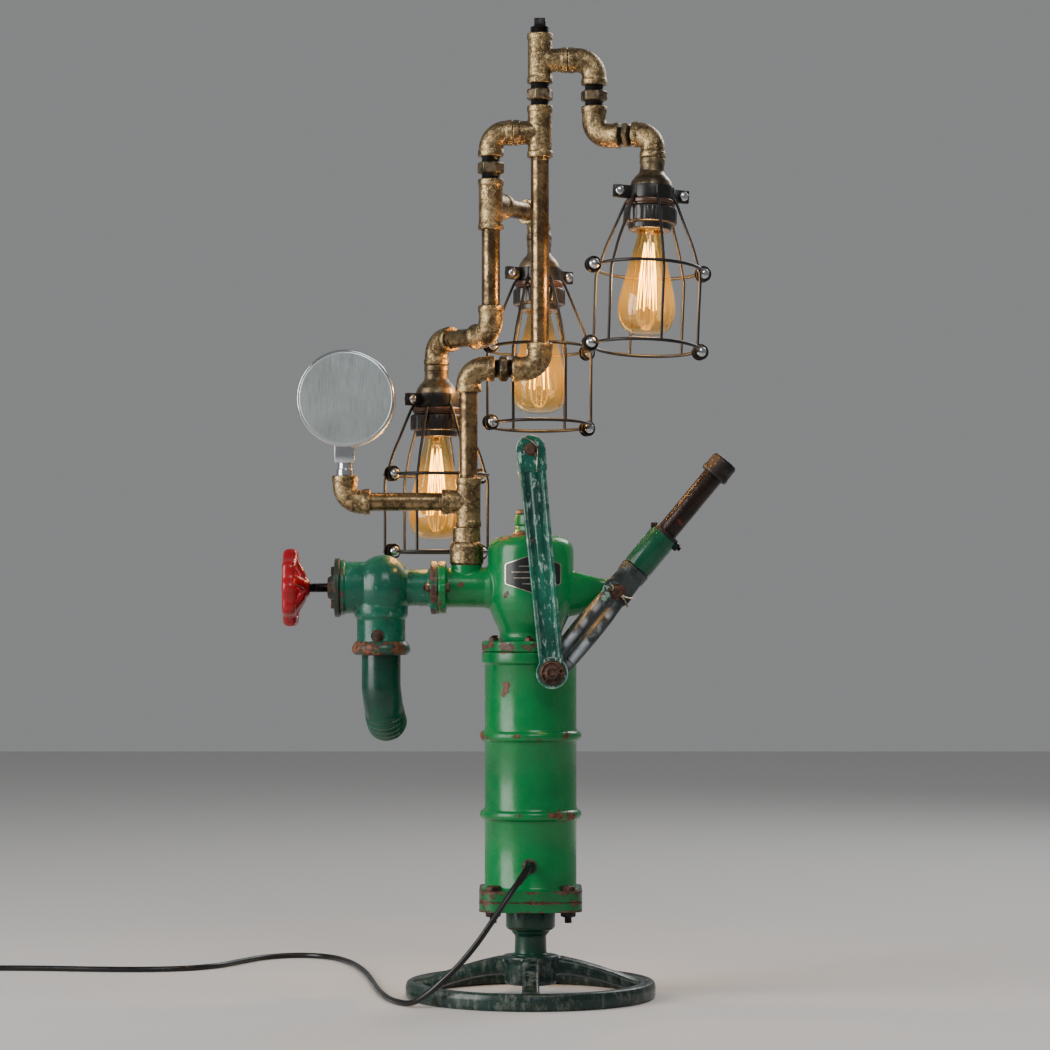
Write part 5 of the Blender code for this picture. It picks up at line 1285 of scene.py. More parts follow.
def lever_side(side):
    """One fork arm with its two rounded ribs, foot boss and cheek."""
    stations = ((0.1220, 0.0116), (0.1020, 0.0121), (0.0820, 0.0255), (0.0620, 0.0440), (0.0450, 0.0553),
                (0.0220, FORK_PLANE),
                (0.0, FORK_PLANE))
    thick = [0.0034, 0.0034, 0.0030, 0.0028, 0.0028, 0.0028, 0.0030]
    wide = [0.0136, 0.0150, 0.0160, 0.0160, 0.0156, 0.0148, 0.0134]
    web = smooth_bar([on_lever(d, side * y) for d, y in stations], list(zip(thick, wide)),
                     squircle(24, 5.0), (0, 1, 0))
    parts = [web]
    for edge in (-1, 1):
        line = [on_lever(d, side * (y + 0.0016), edge * 0.51 * w) for (d, y), w in zip(stations[:-1], wide)]
        parts.append(smooth_bar(line, [(0.0040, 0.42 * w) for w in wide[:-1]], squircle(24, 2.3),
                                (0, 1, 0)))
    parts.append(rod(LINK_FOOT + along_y(side * (FORK_PLANE - 0.0041)),
                     LINK_FOOT + along_y(side * (FORK_PLANE + 0.0041)), 0.0176, 56, 0.0010))
    parts.append(rod(FULCRUM + along_y(side * 0.0083), FULCRUM + along_y(side * 0.0157), 0.0174, 56,
                     0.0016))
    parts.append(smooth_bar([on_lever(d, side * 0.0119) for d in (0.110, 0.125, 0.138, 0.1430)],
                            [(0.0036, 0.0150), (0.0038, 0.0158), (0.0038, 0.0150), (0.0030, 0.0130)],
                            squircle(24, 4.0), (0, 1, 0)))
    return parts


def make_lever():
    socket = lathe([(0.0, 0.1340), (0.0130, 0.1340), (0.0166, 0.1375), (0.0170, 0.1490), (0.0160, 0.1508),
                    (0.0, 0.1508)], 64, placed(LINK_FOOT, LEVER_AXIS), soft=0.0015)
    solid = cast([socket] + lever_side(-1) + lever_side(1), 0.0008, 4)
    hole = rod(FULCRUM - along_y(0.03), FULCRUM + along_y(0.03), FULCRUM_HOLE, 40)
    piece("lever_casting", cut(solid, hole), LEVER_IRON, "lever", "lever_iron", "lever_arm")
    feet = []
    for side in (-1, 1):
        outward = along_y(side)
        foot = LINK_FOOT + along_y(side * FORK_PLANE)
        feet.append(rod(foot, foot + outward * 0.0158, 0.0068, 40, 0.0010))
        feet.append(washer(foot + outward * 0.0138, outward, 0.0142, 0.0014))
        head = [(0.0, 0.0), (0.0124, 0.0), (0.0126, 0.0012), (0.0112, 0.0018), (0.0104, 0.0006),
                (0.0084, 0.0006),
                (0.0080, 0.0034), (0.0066, 0.0042), (0.0046, 0.0042), (0.0040, 0.0026), (0.0, 0.0026)]
        feet.append(lathe(head, 40, placed(foot + outward * 0.0150, outward), soft=0.0004))
        feet.append(split_pin(foot + outward * 0.0182 + Vector((0.0074, 0, 0.001)), (-1, 0, -0.35),
                              (0.35, 0, -1), 0.0185))
    piece("foot_pins", gather(feet), BOLT_RUST, "lever", "rusty_steel")

    along = placed(LINK_FOOT, LEVER_AXIS)
    sleeve = lathe([(0.0, 0.1512), (0.0169, 0.1512), (0.0170, 0.1990), (0.0, 0.1990)], 72, along,
                   soft=0.0010)
    piece("sleeve_tube", sleeve, SLEEVE_PAINT, "lever", "enamel_green", "handle_sleeve")
    collar = lathe([(0.0, 0.1988), (0.0172, 0.1988), (0.0172, 0.2030), (0.0128, 0.2042), (0.0, 0.2042)],
                   64, along, soft=0.0008)
    side = Vector((LEVER_AXIS.z, 0.0, -LEVER_AXIS.x))
    knobs = [collar]
    lug = on_lever(0.1975, -0.002, 0.0160)
    knobs.append(hexagon_head(lug, side, 0.0092, 0.0050, 0.3))
    knobs.append(threaded_rod(lug, lug + side * 0.0082, 0.0027, 0.0010))
    lug = on_lever(0.2005, -0.003, -0.0160)
    knobs.append(box(lug - Vector((0.0038, 0.0045, 0.0030)), lug + Vector((0.0038, 0.0045, 0.0030)),
                     0.0010))
    piece("sleeve_collar", gather(knobs), CAP_RUST, "lever", "rusty_steel")
    pipe = lathe([(0.0, 0.2000), (0.0119, 0.2000), (0.0119, 0.3030), (0.0, 0.3030)], 56, along, soft=0.0006)
    piece("grip_pipe", pipe, GRIP_RUST, "lever", "rusty_steel", "handle_pipe")
    cap = lathe([(0.0, 0.2852), (0.0150, 0.2852), (0.0164, 0.2868), (0.0164, 0.2905), (0.0156, 0.2918),
                 (0.0156, 0.3050), (0.0140, 0.3080), (0.0, 0.3080)], 56, along, soft=0.0010)
    piece("grip_cap", cap, CAP_RUST, "lever", "rusty_steel", "handle_cap")

    parts = [rod(FULCRUM - along_y(0.0215), FULCRUM + along_y(0.0205), 0.0060, 40, 0.0010)]
    parts.append(washer(FULCRUM - along_y(0.0159), (0, -1, 0), 0.0092, 0.0012))
    parts.append(washer(FULCRUM + along_y(0.0159), (0, 1, 0), 0.0092, 0.0012))
    parts.append(dome(FULCRUM + along_y(0.0170), (0, 1, 0), 0.0094, 0.0044))
    piece("fulcrum_bolt", gather(parts), BOLT_RUST, "base", "rusty_steel", "fulcrum_pin")
    pin = split_pin(FULCRUM + Vector((-0.0052, -0.0192, 0.0030)), (1, 0, -0.75), (0.75, 0, 1), 0.0250,
                    0.0010)
    piece("fulcrum_split_pin", pin, PIN_STEEL, "base", "rusty_steel")


def link_point(distance, across, depth):
    along = (CROSSHEAD - LINK_FOOT).normalized()
    sideways = Vector((along.z, 0.0, -along.x))
    return LINK_FOOT + along * distance + sideways * across + along_y(depth)


def make_links():
    length = (CROSSHEAD - LINK_FOOT).length
    for name, side in (("link_front", -1), ("link_back", 1)):
        inner = side * (LINK_PLANE - LINK_HALF)
        outer = side * (LINK_PLANE + LINK_HALF)
        web_depth = side * (LINK_PLANE - 0.0016)
        web = smooth_bar([link_point(d, 0, web_depth) for d in (0.0, length * 0.5, length)],
                         [(0.0030, 0.0128), (0.0030, 0.0134), (0.0030, 0.0138)], squircle(24, 8.0),
                         (0, 1, 0))
        parts = [web]
        for across in (-1, 1):
            line = [link_point(d, across * w, side * LINK_PLANE) for d, w in
                    ((0.012, 0.0110), (length * 0.35, 0.0114), (length * 0.7, 0.0118),
                     (length - 0.016, 0.0120))]
            parts.append(smooth_bar(line, [(LINK_HALF, 0.0026)] * 4, squircle(20, 4.0), (0, 1, 0)))
        channel = [link_point(d, 0.0005, side * (LINK_PLANE + 0.0002))
                   for d in (length * 0.30, length * 0.6, length - 0.020)]
        parts.append(smooth_bar(channel, [(0.0014, 0.0050), (0.0026, 0.0046), (0.0032, 0.0044)],
                                squircle(20, 2.2), (0, 1, 0)))
        tongue = [link_point(length - reach, 0, side * LINK_PLANE) for reach in (0.0, 0.012, 0.024)]
        parts.append(smooth_bar(tongue,
                                [(LINK_HALF, 0.0164), (LINK_HALF, 0.0163), (LINK_HALF - 0.0006, 0.0160)],
                                squircle(28, 8.0), (0, 1, 0)))
        for distance, radius in ((0.0, 0.0178), (length, 0.0166)):
            parts.append(rod(link_point(distance, 0, inner), link_point(distance, 0, outer), radius, 56,
                             0.0014))
        holes = []
        for distance, radius in ((0.0, LINK_FOOT_HOLE), (length, LINK_TOP_HOLE)):
            holes.append(rod(link_point(distance, 0, inner - side * 0.004),
                             link_point(distance, 0, outer + side * 0.004),
                             radius, 40))
        piece(f"{name}_casting", cut(cast(parts, 0.0006, 4), *holes), LINK_PAINT, "links", "enamel_dark",
              name)


# ---------------------------------------------------------------- outlet valve and spout
def make_valve():
    along = placed((0, 0, OUTLET_HEIGHT), (-1, 0, 0))
    start = OUTLET_FACE + 0.0004
    neck = lathe([(0.0, start), (OUTLET_FLANGE_RADIUS, start), (OUTLET_FLANGE_RADIUS, start + 0.0080),
                  (0.0240, start + 0.0086),
                  (0.0208, start + 0.0105), (0.0206, 0.1400), (0.0206, 0.1500), (0.0, 0.1500)], 72, along)
    globe = []
    for step in range(25):
        angle = math.pi * step / 24
        globe.append((0.0370 * math.sin(angle), 0.1660 - 0.0330 * math.cos(angle)))
    ball = lathe([(0.0, globe[0][1])] + globe[1:-1] + [(0.0, globe[-1][1])], 84, along)
    barrel = lathe([(0.0, 0.165), (0.0295, 0.165), (0.0295, 0.2078), (0.0312, 0.2092),
                    (0.0312, BONNET_FACE - 0.0004),
                    (0.0, BONNET_FACE - 0.0004)], 84, along)
    leg = lathe([(0.0, 0.3975), (0.0276, 0.3975), (0.0272, 0.4010), (0.0272, 0.4380), (0.0, 0.4380)], 72,
                Matrix.Translation((-VALVE_CENTRE, 0, 0)))
    shoulder = lathe([(0.0, 0.4235), (0.0272, 0.4235), (0.0294, 0.4262), (0.0302, 0.4300), (0.0302, 0.4400),
                      (0.0, 0.4400)], 72,
                     Matrix.Translation((-VALVE_CENTRE, 0, 0)))
    ears = []
    for side in (-1, 1):
        ears.append(rod((-start, side * 0.0262, OUTLET_HEIGHT),
                        (-start - 0.0080, side * 0.0262, OUTLET_HEIGHT), 0.0088, 36))
    piece("valve_casting", cast([neck, ball, barrel, leg, shoulder] + ears, 0.0009, 4), TEAL, "base",
          "enamel_teal",
          "valve_body")
    collar = lathe([(0.0, LEG_BOTTOM), (0.0296, LEG_BOTTOM), (0.0324, 0.3868), (0.0330, 0.3905),
                    (0.0318, 0.3940),
                    (0.0290, 0.3985), (0.0, 0.3985)], 84,
                   Matrix.Translation((-VALVE_CENTRE, 0, 0)), soft=0.0012)
    piece("leg_collar", collar, COLLAR_RUST, "base", "enamel_teal")
    screw = Vector((-VALVE_CENTRE - 0.0030, -0.0262, 0.4050))
    screw_parts = [washer(screw, (0, -1, 0), 0.0072, 0.0020),
                   dome(screw + along_y(-0.0018), (0, -1, 0), 0.0056, 0.0030)]
    piece("leg_screw", gather(screw_parts), BOLT_RUST, "base", "rusty_steel")
    gasket = lathe([(0.0, OUTLET_FACE - 0.0008), (0.0288, OUTLET_FACE - 0.0008),
                    (0.0288, OUTLET_FACE + 0.0006),
                    (0.0, OUTLET_FACE + 0.0006)], 72, along, soft=0.0003)
    piece("outlet_gasket", gasket, GASKET_BROWN, "base", "rusty_steel")
    bolts = []
    for side in (-1, 1):
        centre = Vector((-OUTLET_FACE, side * 0.0272, OUTLET_HEIGHT))
        bolts.append(hexagon_head(centre + Vector((0.0086, 0, 0)), (1, 0, 0), 0.0098, 0.0046, 0.2))
        bolts.append(hexagon_head(centre + Vector((-0.0084, 0, 0)), (-1, 0, 0), 0.0098, 0.0052, 0.5))
        bolts.append(threaded_rod(centre + Vector((-0.0084, 0, 0)), centre + Vector((-0.0165, 0, 0)),
                                  0.0031, 0.0010))
    piece("outlet_bolts", gather(bolts), BOLT_RUST, "base", "rusty_steel")

    bonnet = lathe([(0.0, BONNET_FACE), (0.0330, BONNET_FACE), (0.0332, BONNET_FACE + 0.0058),
                    (0.0160, BONNET_FACE + 0.0064), (0.0150, BONNET_FACE + 0.0072),
                    (0.0116, BONNET_FACE + 0.0140),
                    (0.0, BONNET_FACE + 0.0140)], 84, along, soft=0.0009)
    hole = rod((-BONNET_FACE - 0.02, 0, OUTLET_HEIGHT), (-BONNET_FACE + 0.02, 0, OUTLET_HEIGHT), 0.0062, 36)
    piece("bonnet_plate", cut(bonnet, hole), BONNET_PAINT, "base", "enamel_teal", "valve_bonnet")
    screws = []
    for index in range(4):
        angle = math.radians(45 + 90 * index)
        point = Vector((-BONNET_FACE - 0.0056, 0.0262 * math.cos(angle),
                        OUTLET_HEIGHT + 0.0262 * math.sin(angle)))
        screws.append(hexagon_head(point, (-1, 0, 0), 0.0088, 0.0038, angle))
    piece("bonnet_screws", gather(screws), BOLT_RUST, "base", "rusty_steel")


def make_spout():
    line = []
    top = LEG_BOTTOM - 0.0003
    for height in (top, 0.372, 0.360):
        line.append(Vector((-VALVE_CENTRE, 0, height)))
    steps = 40
    for step in range(steps + 1):
        share = step / steps
        angle = math.radians(70) * share
        line.append(Vector((-VALVE_CENTRE + 0.006 * share, 0.045 * (1 - math.cos(angle)),
                            0.348 - 0.045 * math.sin(angle))))
    outer = []
    for index, point in enumerate(line):
        share = max(index - 3, 0) / steps
        ridge = 0.0
        if share > 0.52:
            ridge = 0.0007 * math.sin((share - 0.52) * math.tau * 10.0)
        outer.append(0.0219 + ridge)
    rounds = along_points(line, [(size, size) for size in outer])
    end, direction = rounds[-1][0], Vector(rounds[-1][1]).normalized()
    rounds.append((end + direction * 0.0010, direction, 0.0212, 0.0212))
    shell = sweep(rounds, circle(64), (1, 0, 0))
    bore = [(point, facing, 0.0175, 0.0175) for point, facing, _, _ in rounds[1:]]
    bore.append((end + direction * 0.006, direction, 0.0175, 0.0175))
    piece("spout_pipe", cut(shell, sweep(bore, circle(48), (1, 0, 0))), TEAL_SPOUT, "base", "enamel_teal",
          "spout")


def make_valve_works():
    along = placed((0, 0, OUTLET_HEIGHT), (-1, 0, 0))
    disc_face = VALVE_CENTRE - 0.001
    disc = lathe([(0.0, disc_face - 0.006), (0.0168, disc_face - 0.006), (0.0168, disc_face - 0.001),
                  (0.0120, disc_face), (0.0, disc_face)], 48, along, soft=0.0006)
    piece("disc_plate", disc, BRONZE, "valve_disc", "bronze_fitting", "valve_disc")
    stem = [rod((-disc_face - 0.0003, 0, OUTLET_HEIGHT), (-0.2100, 0, OUTLET_HEIGHT), 0.0050, 32),
            threaded_rod((-0.2100, 0, OUTLET_HEIGHT), (-WHEEL_HUB_START - 0.0020, 0, OUTLET_HEIGHT), 0.0054,
                         0.0017)]
    piece("stem_screw", gather(stem), BLACK_STEEL, "valve_wheel", "black_steel", "valve_stem")

    centre = Vector((-WHEEL_RIM_DISTANCE, 0, OUTLET_HEIGHT))
    facets = WHEEL_LOBES * 16
    rim = []
    for index in range(facets):
        angle = math.tau * index / facets
        swell = math.cos(WHEEL_LOBES * angle)
        outward = Vector((0, math.cos(angle), math.sin(angle)))
        rim.append((centre + outward * (0.0382 + 0.0014 * swell),
                    Vector((0, -math.sin(angle), math.cos(angle))),
                    0.0079, 0.0054 + 0.0005 * swell))
    parts = [sweep(rim, squircle(24, 2.4), (1, 0, 0), loop=True)]
    hub = lathe([(0.0, WHEEL_HUB_START), (0.0088, WHEEL_HUB_START), (0.0120, WHEEL_HUB_START + 0.0040),
                 (0.0132, WHEEL_HUB_START + 0.0110), (0.0120, WHEEL_HUB_START + 0.0190),
                 (0.0, WHEEL_HUB_START + 0.0190)], 48, along, soft=0.0012)
    parts.append(hub)
    for index in range(5):
        angle = math.tau * (index + 0.25) / 5
        outward = Vector((0, math.cos(angle), math.sin(angle)))
        line = [Vector((-distance, 0, OUTLET_HEIGHT)) + outward * radius for distance, radius in
                ((0.2565, 0.007), (0.2572, 0.016), (0.2625, 0.026), (0.2680, 0.037))]
        parts.append(smooth_bar(line,
                                [(0.0046, 0.0068), (0.0040, 0.0060), (0.0038, 0.0064), (0.0044, 0.0082)],
                                squircle(20, 2.6), (1, 0, 0)))
    piece("wheel_casting", cast(parts, 0.0007, 4), RED, "valve_wheel", "wheel_red", "valve_wheel")
    nut = hexagon_head((-WHEEL_HUB_START - 0.0185, 0, OUTLET_HEIGHT), (-1, 0, 0), 0.0110, 0.0052)
    piece("wheel_nut",
          gather([washer((-WHEEL_HUB_START - 0.0178, 0, OUTLET_HEIGHT), (-1, 0, 0), 0.0080, 0.0010), nut]),
          BLACK_STEEL, "valve_wheel", "black_steel")


# ---------------------------------------------------------------- pipe fittings
def band(start, direction, body):
    """Stations of a fitting's banded end, from its face inwards."""
    rim = FITTING_RIM
    return [(start, direction, rim - 0.0009, rim - 0.0009),
            (start + direction * 0.0006, direction, rim - 0.0002, rim - 0.0002),
            (start + direction * 0.0014, direction, rim, rim),
            (start + direction * 0.0058, direction, rim, rim),
            (start + direction * 0.0068, direction, rim - 0.0003, rim - 0.0003),
            (start + direction * 0.0080, direction, body, body)]


def flipped(stations):
    return [(point, -direction, a, b) for point, direction, a, b in reversed(stations)]


def elbow(inlet, corner, outlet, facets=44):
    """A cast elbow, with small raised foundry bosses on its sides."""
    inward = (corner - inlet).normalized()
    outward = (outlet - corner).normalized()
    turn = inward.angle(outward)
    bend = 0.0185
    lead = bend * math.tan(turn / 2)
    normal = inward.cross(outward).normalized()
    hinge = corner - inward * lead + normal.cross(inward) * bend
    stations = band(inlet, inward, FITTING_BODY)
    steps = 18
    for step in range(steps + 1):
        turned = Matrix.Rotation(turn * step / steps, 3, normal)
        point = hinge + turned @ (corner - inward * lead - hinge)
        stations.append((point, turned @ inward, FITTING_BODY, FITTING_BODY))
    stations += flipped(band(outlet, -outward, FITTING_BODY))
    meshes = [sweep(stations, circle(facets), normal)]
    middle = hinge + Matrix.Rotation(turn / 2, 3, normal) @ (corner - inward * lead - hinge)
    for side in (-1, 1):
        face = middle + normal * side * (FITTING_BODY - 0.0006)
        meshes.append(lathe([(0.0022, 0.0), (0.0036, 0.0), (0.0034, 0.0011), (0.0024, 0.0011)], 24,
                            placed(face, normal * side), hollow=True))
    return gather(meshes)


def straight_run(start, end, facets=44):
    direction = (end - start).normalized()
    up = along_y(1) if abs(direction.y) < 0.5 else UP
    return sweep(band(start, direction, FITTING_BODY) + flipped(band(end, -direction, FITTING_BODY)),
                 circle(facets), up)


def tee(bottom, top, centre, branch):
    direction = (branch - centre).normalized()
    stations = band(branch, -direction, FITTING_BODY - 0.0002)
    stations.append((centre, -direction, FITTING_BODY - 0.0008, FITTING_BODY - 0.0008))
    return cast([straight_run(bottom, top), sweep(stations, circle(44), UP)], 0.0006, 5)


def nipple(start, end, number):
    """A hexagon nipple: black threads at both ends and a bronzed hexagon between."""
    direction = (end - start).normalized()
    length = (end - start).length
    neck = min(0.0058, length * 0.24)
    threads = gather([threaded_rod(start - direction * 0.0004, start + direction * (neck + 0.001),
                                   THREAD_RADIUS, 0.0016, 40),
                      threaded_rod(end - direction * (neck + 0.001), end + direction * 0.0004,
                                   THREAD_RADIUS, 0.0016, 40)])
    piece(f"nipple_threads_{number}", threads, BLACK_STEEL, "base", "bronze_fitting")
    radius = HEXAGON_RADIUS
    profile = [(0.0, neck), (radius * 0.84, neck), (radius, neck + 0.0018),
               (radius, length - neck - 0.0018),
               (radius * 0.84, length - neck), (0.0, length - neck)]
    hexagon = lathe(profile, 6, placed(start, direction) @ Matrix.Rotation(0.3 + number, 4, "Z"))
    piece(f"nipple_hexagon_{number}", hexagon, NIPPLE_DARK, "base", "bronze_fitting", bevel=0.0006)


def straight_pipe(start, end):
    length = (end - start).length
    profile = [(0.0, 0.0), (PIPE_RADIUS, 0.0), (PIPE_RADIUS, length), (0.0, length)]
    return lathe(profile, 44, placed(start, end - start))


def thread_collar(point, direction, length=0.0045):
    """The dark threads that show where a pipe enters a fitting."""
    return threaded_rod(point, point + direction * length, PIPE_RADIUS + 0.0003, 0.0014, 40)


def bronze(name, mesh, node, material=None):
    piece(name, mesh, material or BRONZE, "base", "bronze_fitting", node)


def make_riser():
    base = Matrix.Translation((RISER_X - 0.002, 0, 0))
    reducer = lathe([(0.0, 0.4855), (0.0186, 0.4855), (0.0190, 0.4880), (0.0190, 0.5050), (0.0180, 0.5080),
                     (0.0158, 0.5105), (0.0154, 0.5262), (0.0, 0.5262)], 56, base, soft=0.0010)
    bronze("reducer", reducer, "riser_reducer")
    piece("reducer_thread",
          threaded_rod((RISER_X - 0.002, 0, 0.4840), (RISER_X - 0.002, 0, 0.4862), 0.0178), RUSTY,
          "base", "rusty_steel")
    centre = Vector((RISER_X, 0, RISER_TEE_HEIGHT))
    branch_end = Vector((-0.0997, 0, RISER_TEE_HEIGHT))
    bronze("riser_tee_cast",
           tee(Vector((RISER_X, 0, 0.5263)), Vector((RISER_X, 0, 0.5825)), centre, branch_end), "riser_tee")
    corner = Vector((GAUGE_CENTRE.x - 0.0015, 0, RISER_TEE_HEIGHT))
    pipe_arm("gauge", branch_end, corner, Vector((-1, 0, 0)), UP, 0.0293, "gauge_arm")
    bronze("riser_tube", straight_pipe(Vector((RISER_X, 0, 0.5826)), Vector((RISER_X, 0, 0.6788))),
           "riser_pipe", BRONZE_PIPE)

    low_corner = Vector((RISER_X, 0, OFFSET_HEIGHT))
    low_rim = Vector((-0.0405, 0, OFFSET_HEIGHT))
    high_rim = Vector((-0.0203, 0, OFFSET_HEIGHT))
    bronze("offset_low", elbow(Vector((RISER_X, 0, 0.6788)), low_corner, low_rim), "offset_elbow_low")
    nipple(low_rim, high_rim, 1)
    high_corner = Vector((MAIN_X, 0, OFFSET_HEIGHT))
    bronze("offset_high", elbow(high_rim, high_corner, high_corner + UP * 0.0290), "offset_elbow_high")
    bronze("main_tube",
           straight_pipe(high_corner + UP * 0.0288, Vector((MAIN_X, 0, LEFT_TEE_HEIGHT - REACH))),
           "main_pipe", BRONZE_PIPE)
    collars = [thread_collar(Vector((RISER_X, 0, 0.5825)), UP, 0.0030),
               thread_collar(Vector((RISER_X, 0, 0.6788)), -UP, 0.0030),
               thread_collar(high_corner + UP * 0.0290, UP, 0.0030),
               thread_collar(Vector((MAIN_X, 0, LEFT_TEE_HEIGHT - REACH)), -UP, 0.0040),
               thread_collar(Vector((LEFT_X, 0, REAR_TEE_HEIGHT - 0.0290)), -UP, 0.0040),
               thread_collar(Vector((LEFT_X, 0, 0.7765)), UP, 0.0030)]
    piece("pipe_threads", gather(collars), NIPPLE_DARK, "base", "bronze_fitting")


def make_top():
    left_centre = Vector((MAIN_X, 0, LEFT_TEE_HEIGHT))
    left_top = left_centre + UP * 0.0305
    bronze("left_tee_cast",
           tee(left_centre - UP * REACH, left_top, left_centre, left_centre - Vector((0.0305, 0, 0))),
           "left_tee")
    top_centre = Vector((MAIN_X, 0, TOP_TEE_HEIGHT))
    top_bottom = top_centre - UP * 0.0265
    top_end = top_centre + UP * 0.0303
    bronze("top_tee_cast", tee(top_bottom, top_end, top_centre, top_centre + Vector((0.0315, 0, 0))),
           "top_tee")
    nipple(left_top, top_bottom, 2)
    collar = [threaded_rod(top_end, top_end + UP * 0.0074, 0.0109, 0.0018, 40)]
    collar.append(box(top_end + Vector((-0.0066, -0.0066, 0.006)),
                      top_end + Vector((0.0066, 0.0066, 0.0170)), 0.0011))
    piece("square_plug", gather(collar), BLACK_STEEL, "base", "black_steel", "top_plug")


def make_right_branch():
    start = Vector((MAIN_X + 0.0316, 0, TOP_TEE_HEIGHT))
    corner = Vector((RIGHT_X, 0, TOP_TEE_HEIGHT))
    bronze("right_high", elbow(start, corner, corner - UP * REACH), "right_elbow_high")
    low_corner = Vector((RIGHT_X, 0, LAMP_1_CORNER.z))
    low_top = low_corner + UP * 0.0340
    aim = (LAMP_1_CORNER - low_corner).normalized()
    nipple(corner - UP * REACH, low_top, 3)
    bronze("right_low", elbow(low_top, low_corner, low_corner + aim * 0.0315), "right_elbow_low")
    elbow_start = LAMP_1_CORNER - aim * 0.0235
    nipple(low_corner + aim * 0.0315, elbow_start, 4)
    bronze("lamp_elbow", elbow(elbow_start, LAMP_1_CORNER, LAMP_1_CORNER + LAMP_1_AXIS * REACH),
           "lamp_elbow_1")


def make_left_branch():
    start = Vector((MAIN_X - 0.0306, 0, LEFT_TEE_HEIGHT))
    corner = Vector((LEFT_X, 0, LEFT_TEE_HEIGHT))
    rim = corner - UP * 0.0272
    bronze("left_high", elbow(start, corner, rim), "left_elbow")
    centre = Vector((LEFT_X, 0, REAR_TEE_HEIGHT))
    tee_top = centre + UP * 0.0286
    towards = (LAMP_2_CORNER - centre).normalized()
    bronze("rear_tee_cast", tee(centre - UP * 0.0288, tee_top, centre, centre + towards * 0.030),
           "rear_tee")
    nipple(rim, tee_top, 5)
    bronze("drop_tube", straight_pipe(Vector((LEFT_X, 0, 0.7764)), centre - UP * 0.0288), "drop_pipe",
           BRONZE_PIPE)
    pipe_arm("second", centre + towards * 0.030, LAMP_2_CORNER, towards, LAMP_2_AXIS, 0.0315, "lamp_arm_2")
    drop_corner = Vector((LEFT_X, 0, DROP_HEIGHT))
    towards_3 = (LAMP_3_CORNER - drop_corner).normalized()
    bronze("drop_bend", elbow(Vector((LEFT_X, 0, 0.7764)), drop_corner, drop_corner + towards_3 * REACH),
           "drop_elbow")
    pipe_arm("third", drop_corner + towards_3 * REACH, LAMP_3_CORNER, towards_3, -UP, REACH, "lamp_arm_3")


def pipe_arm(name, start, corner, towards, outlet_axis, reach, node):
    elbow_start = corner - towards * REACH
    bronze(f"{name}_bend", elbow(elbow_start, corner, corner + outlet_axis * reach), node)
    bronze(f"{name}_tube", straight_pipe(start, elbow_start + towards * 0.0005), node, BRONZE_PIPE)
    collars = [thread_collar(start, towards, 0.0030), thread_collar(elbow_start, -towards, 0.0030)]
    piece(f"{name}_threads", gather(collars), NIPPLE_DARK, "base", "bronze_fitting")


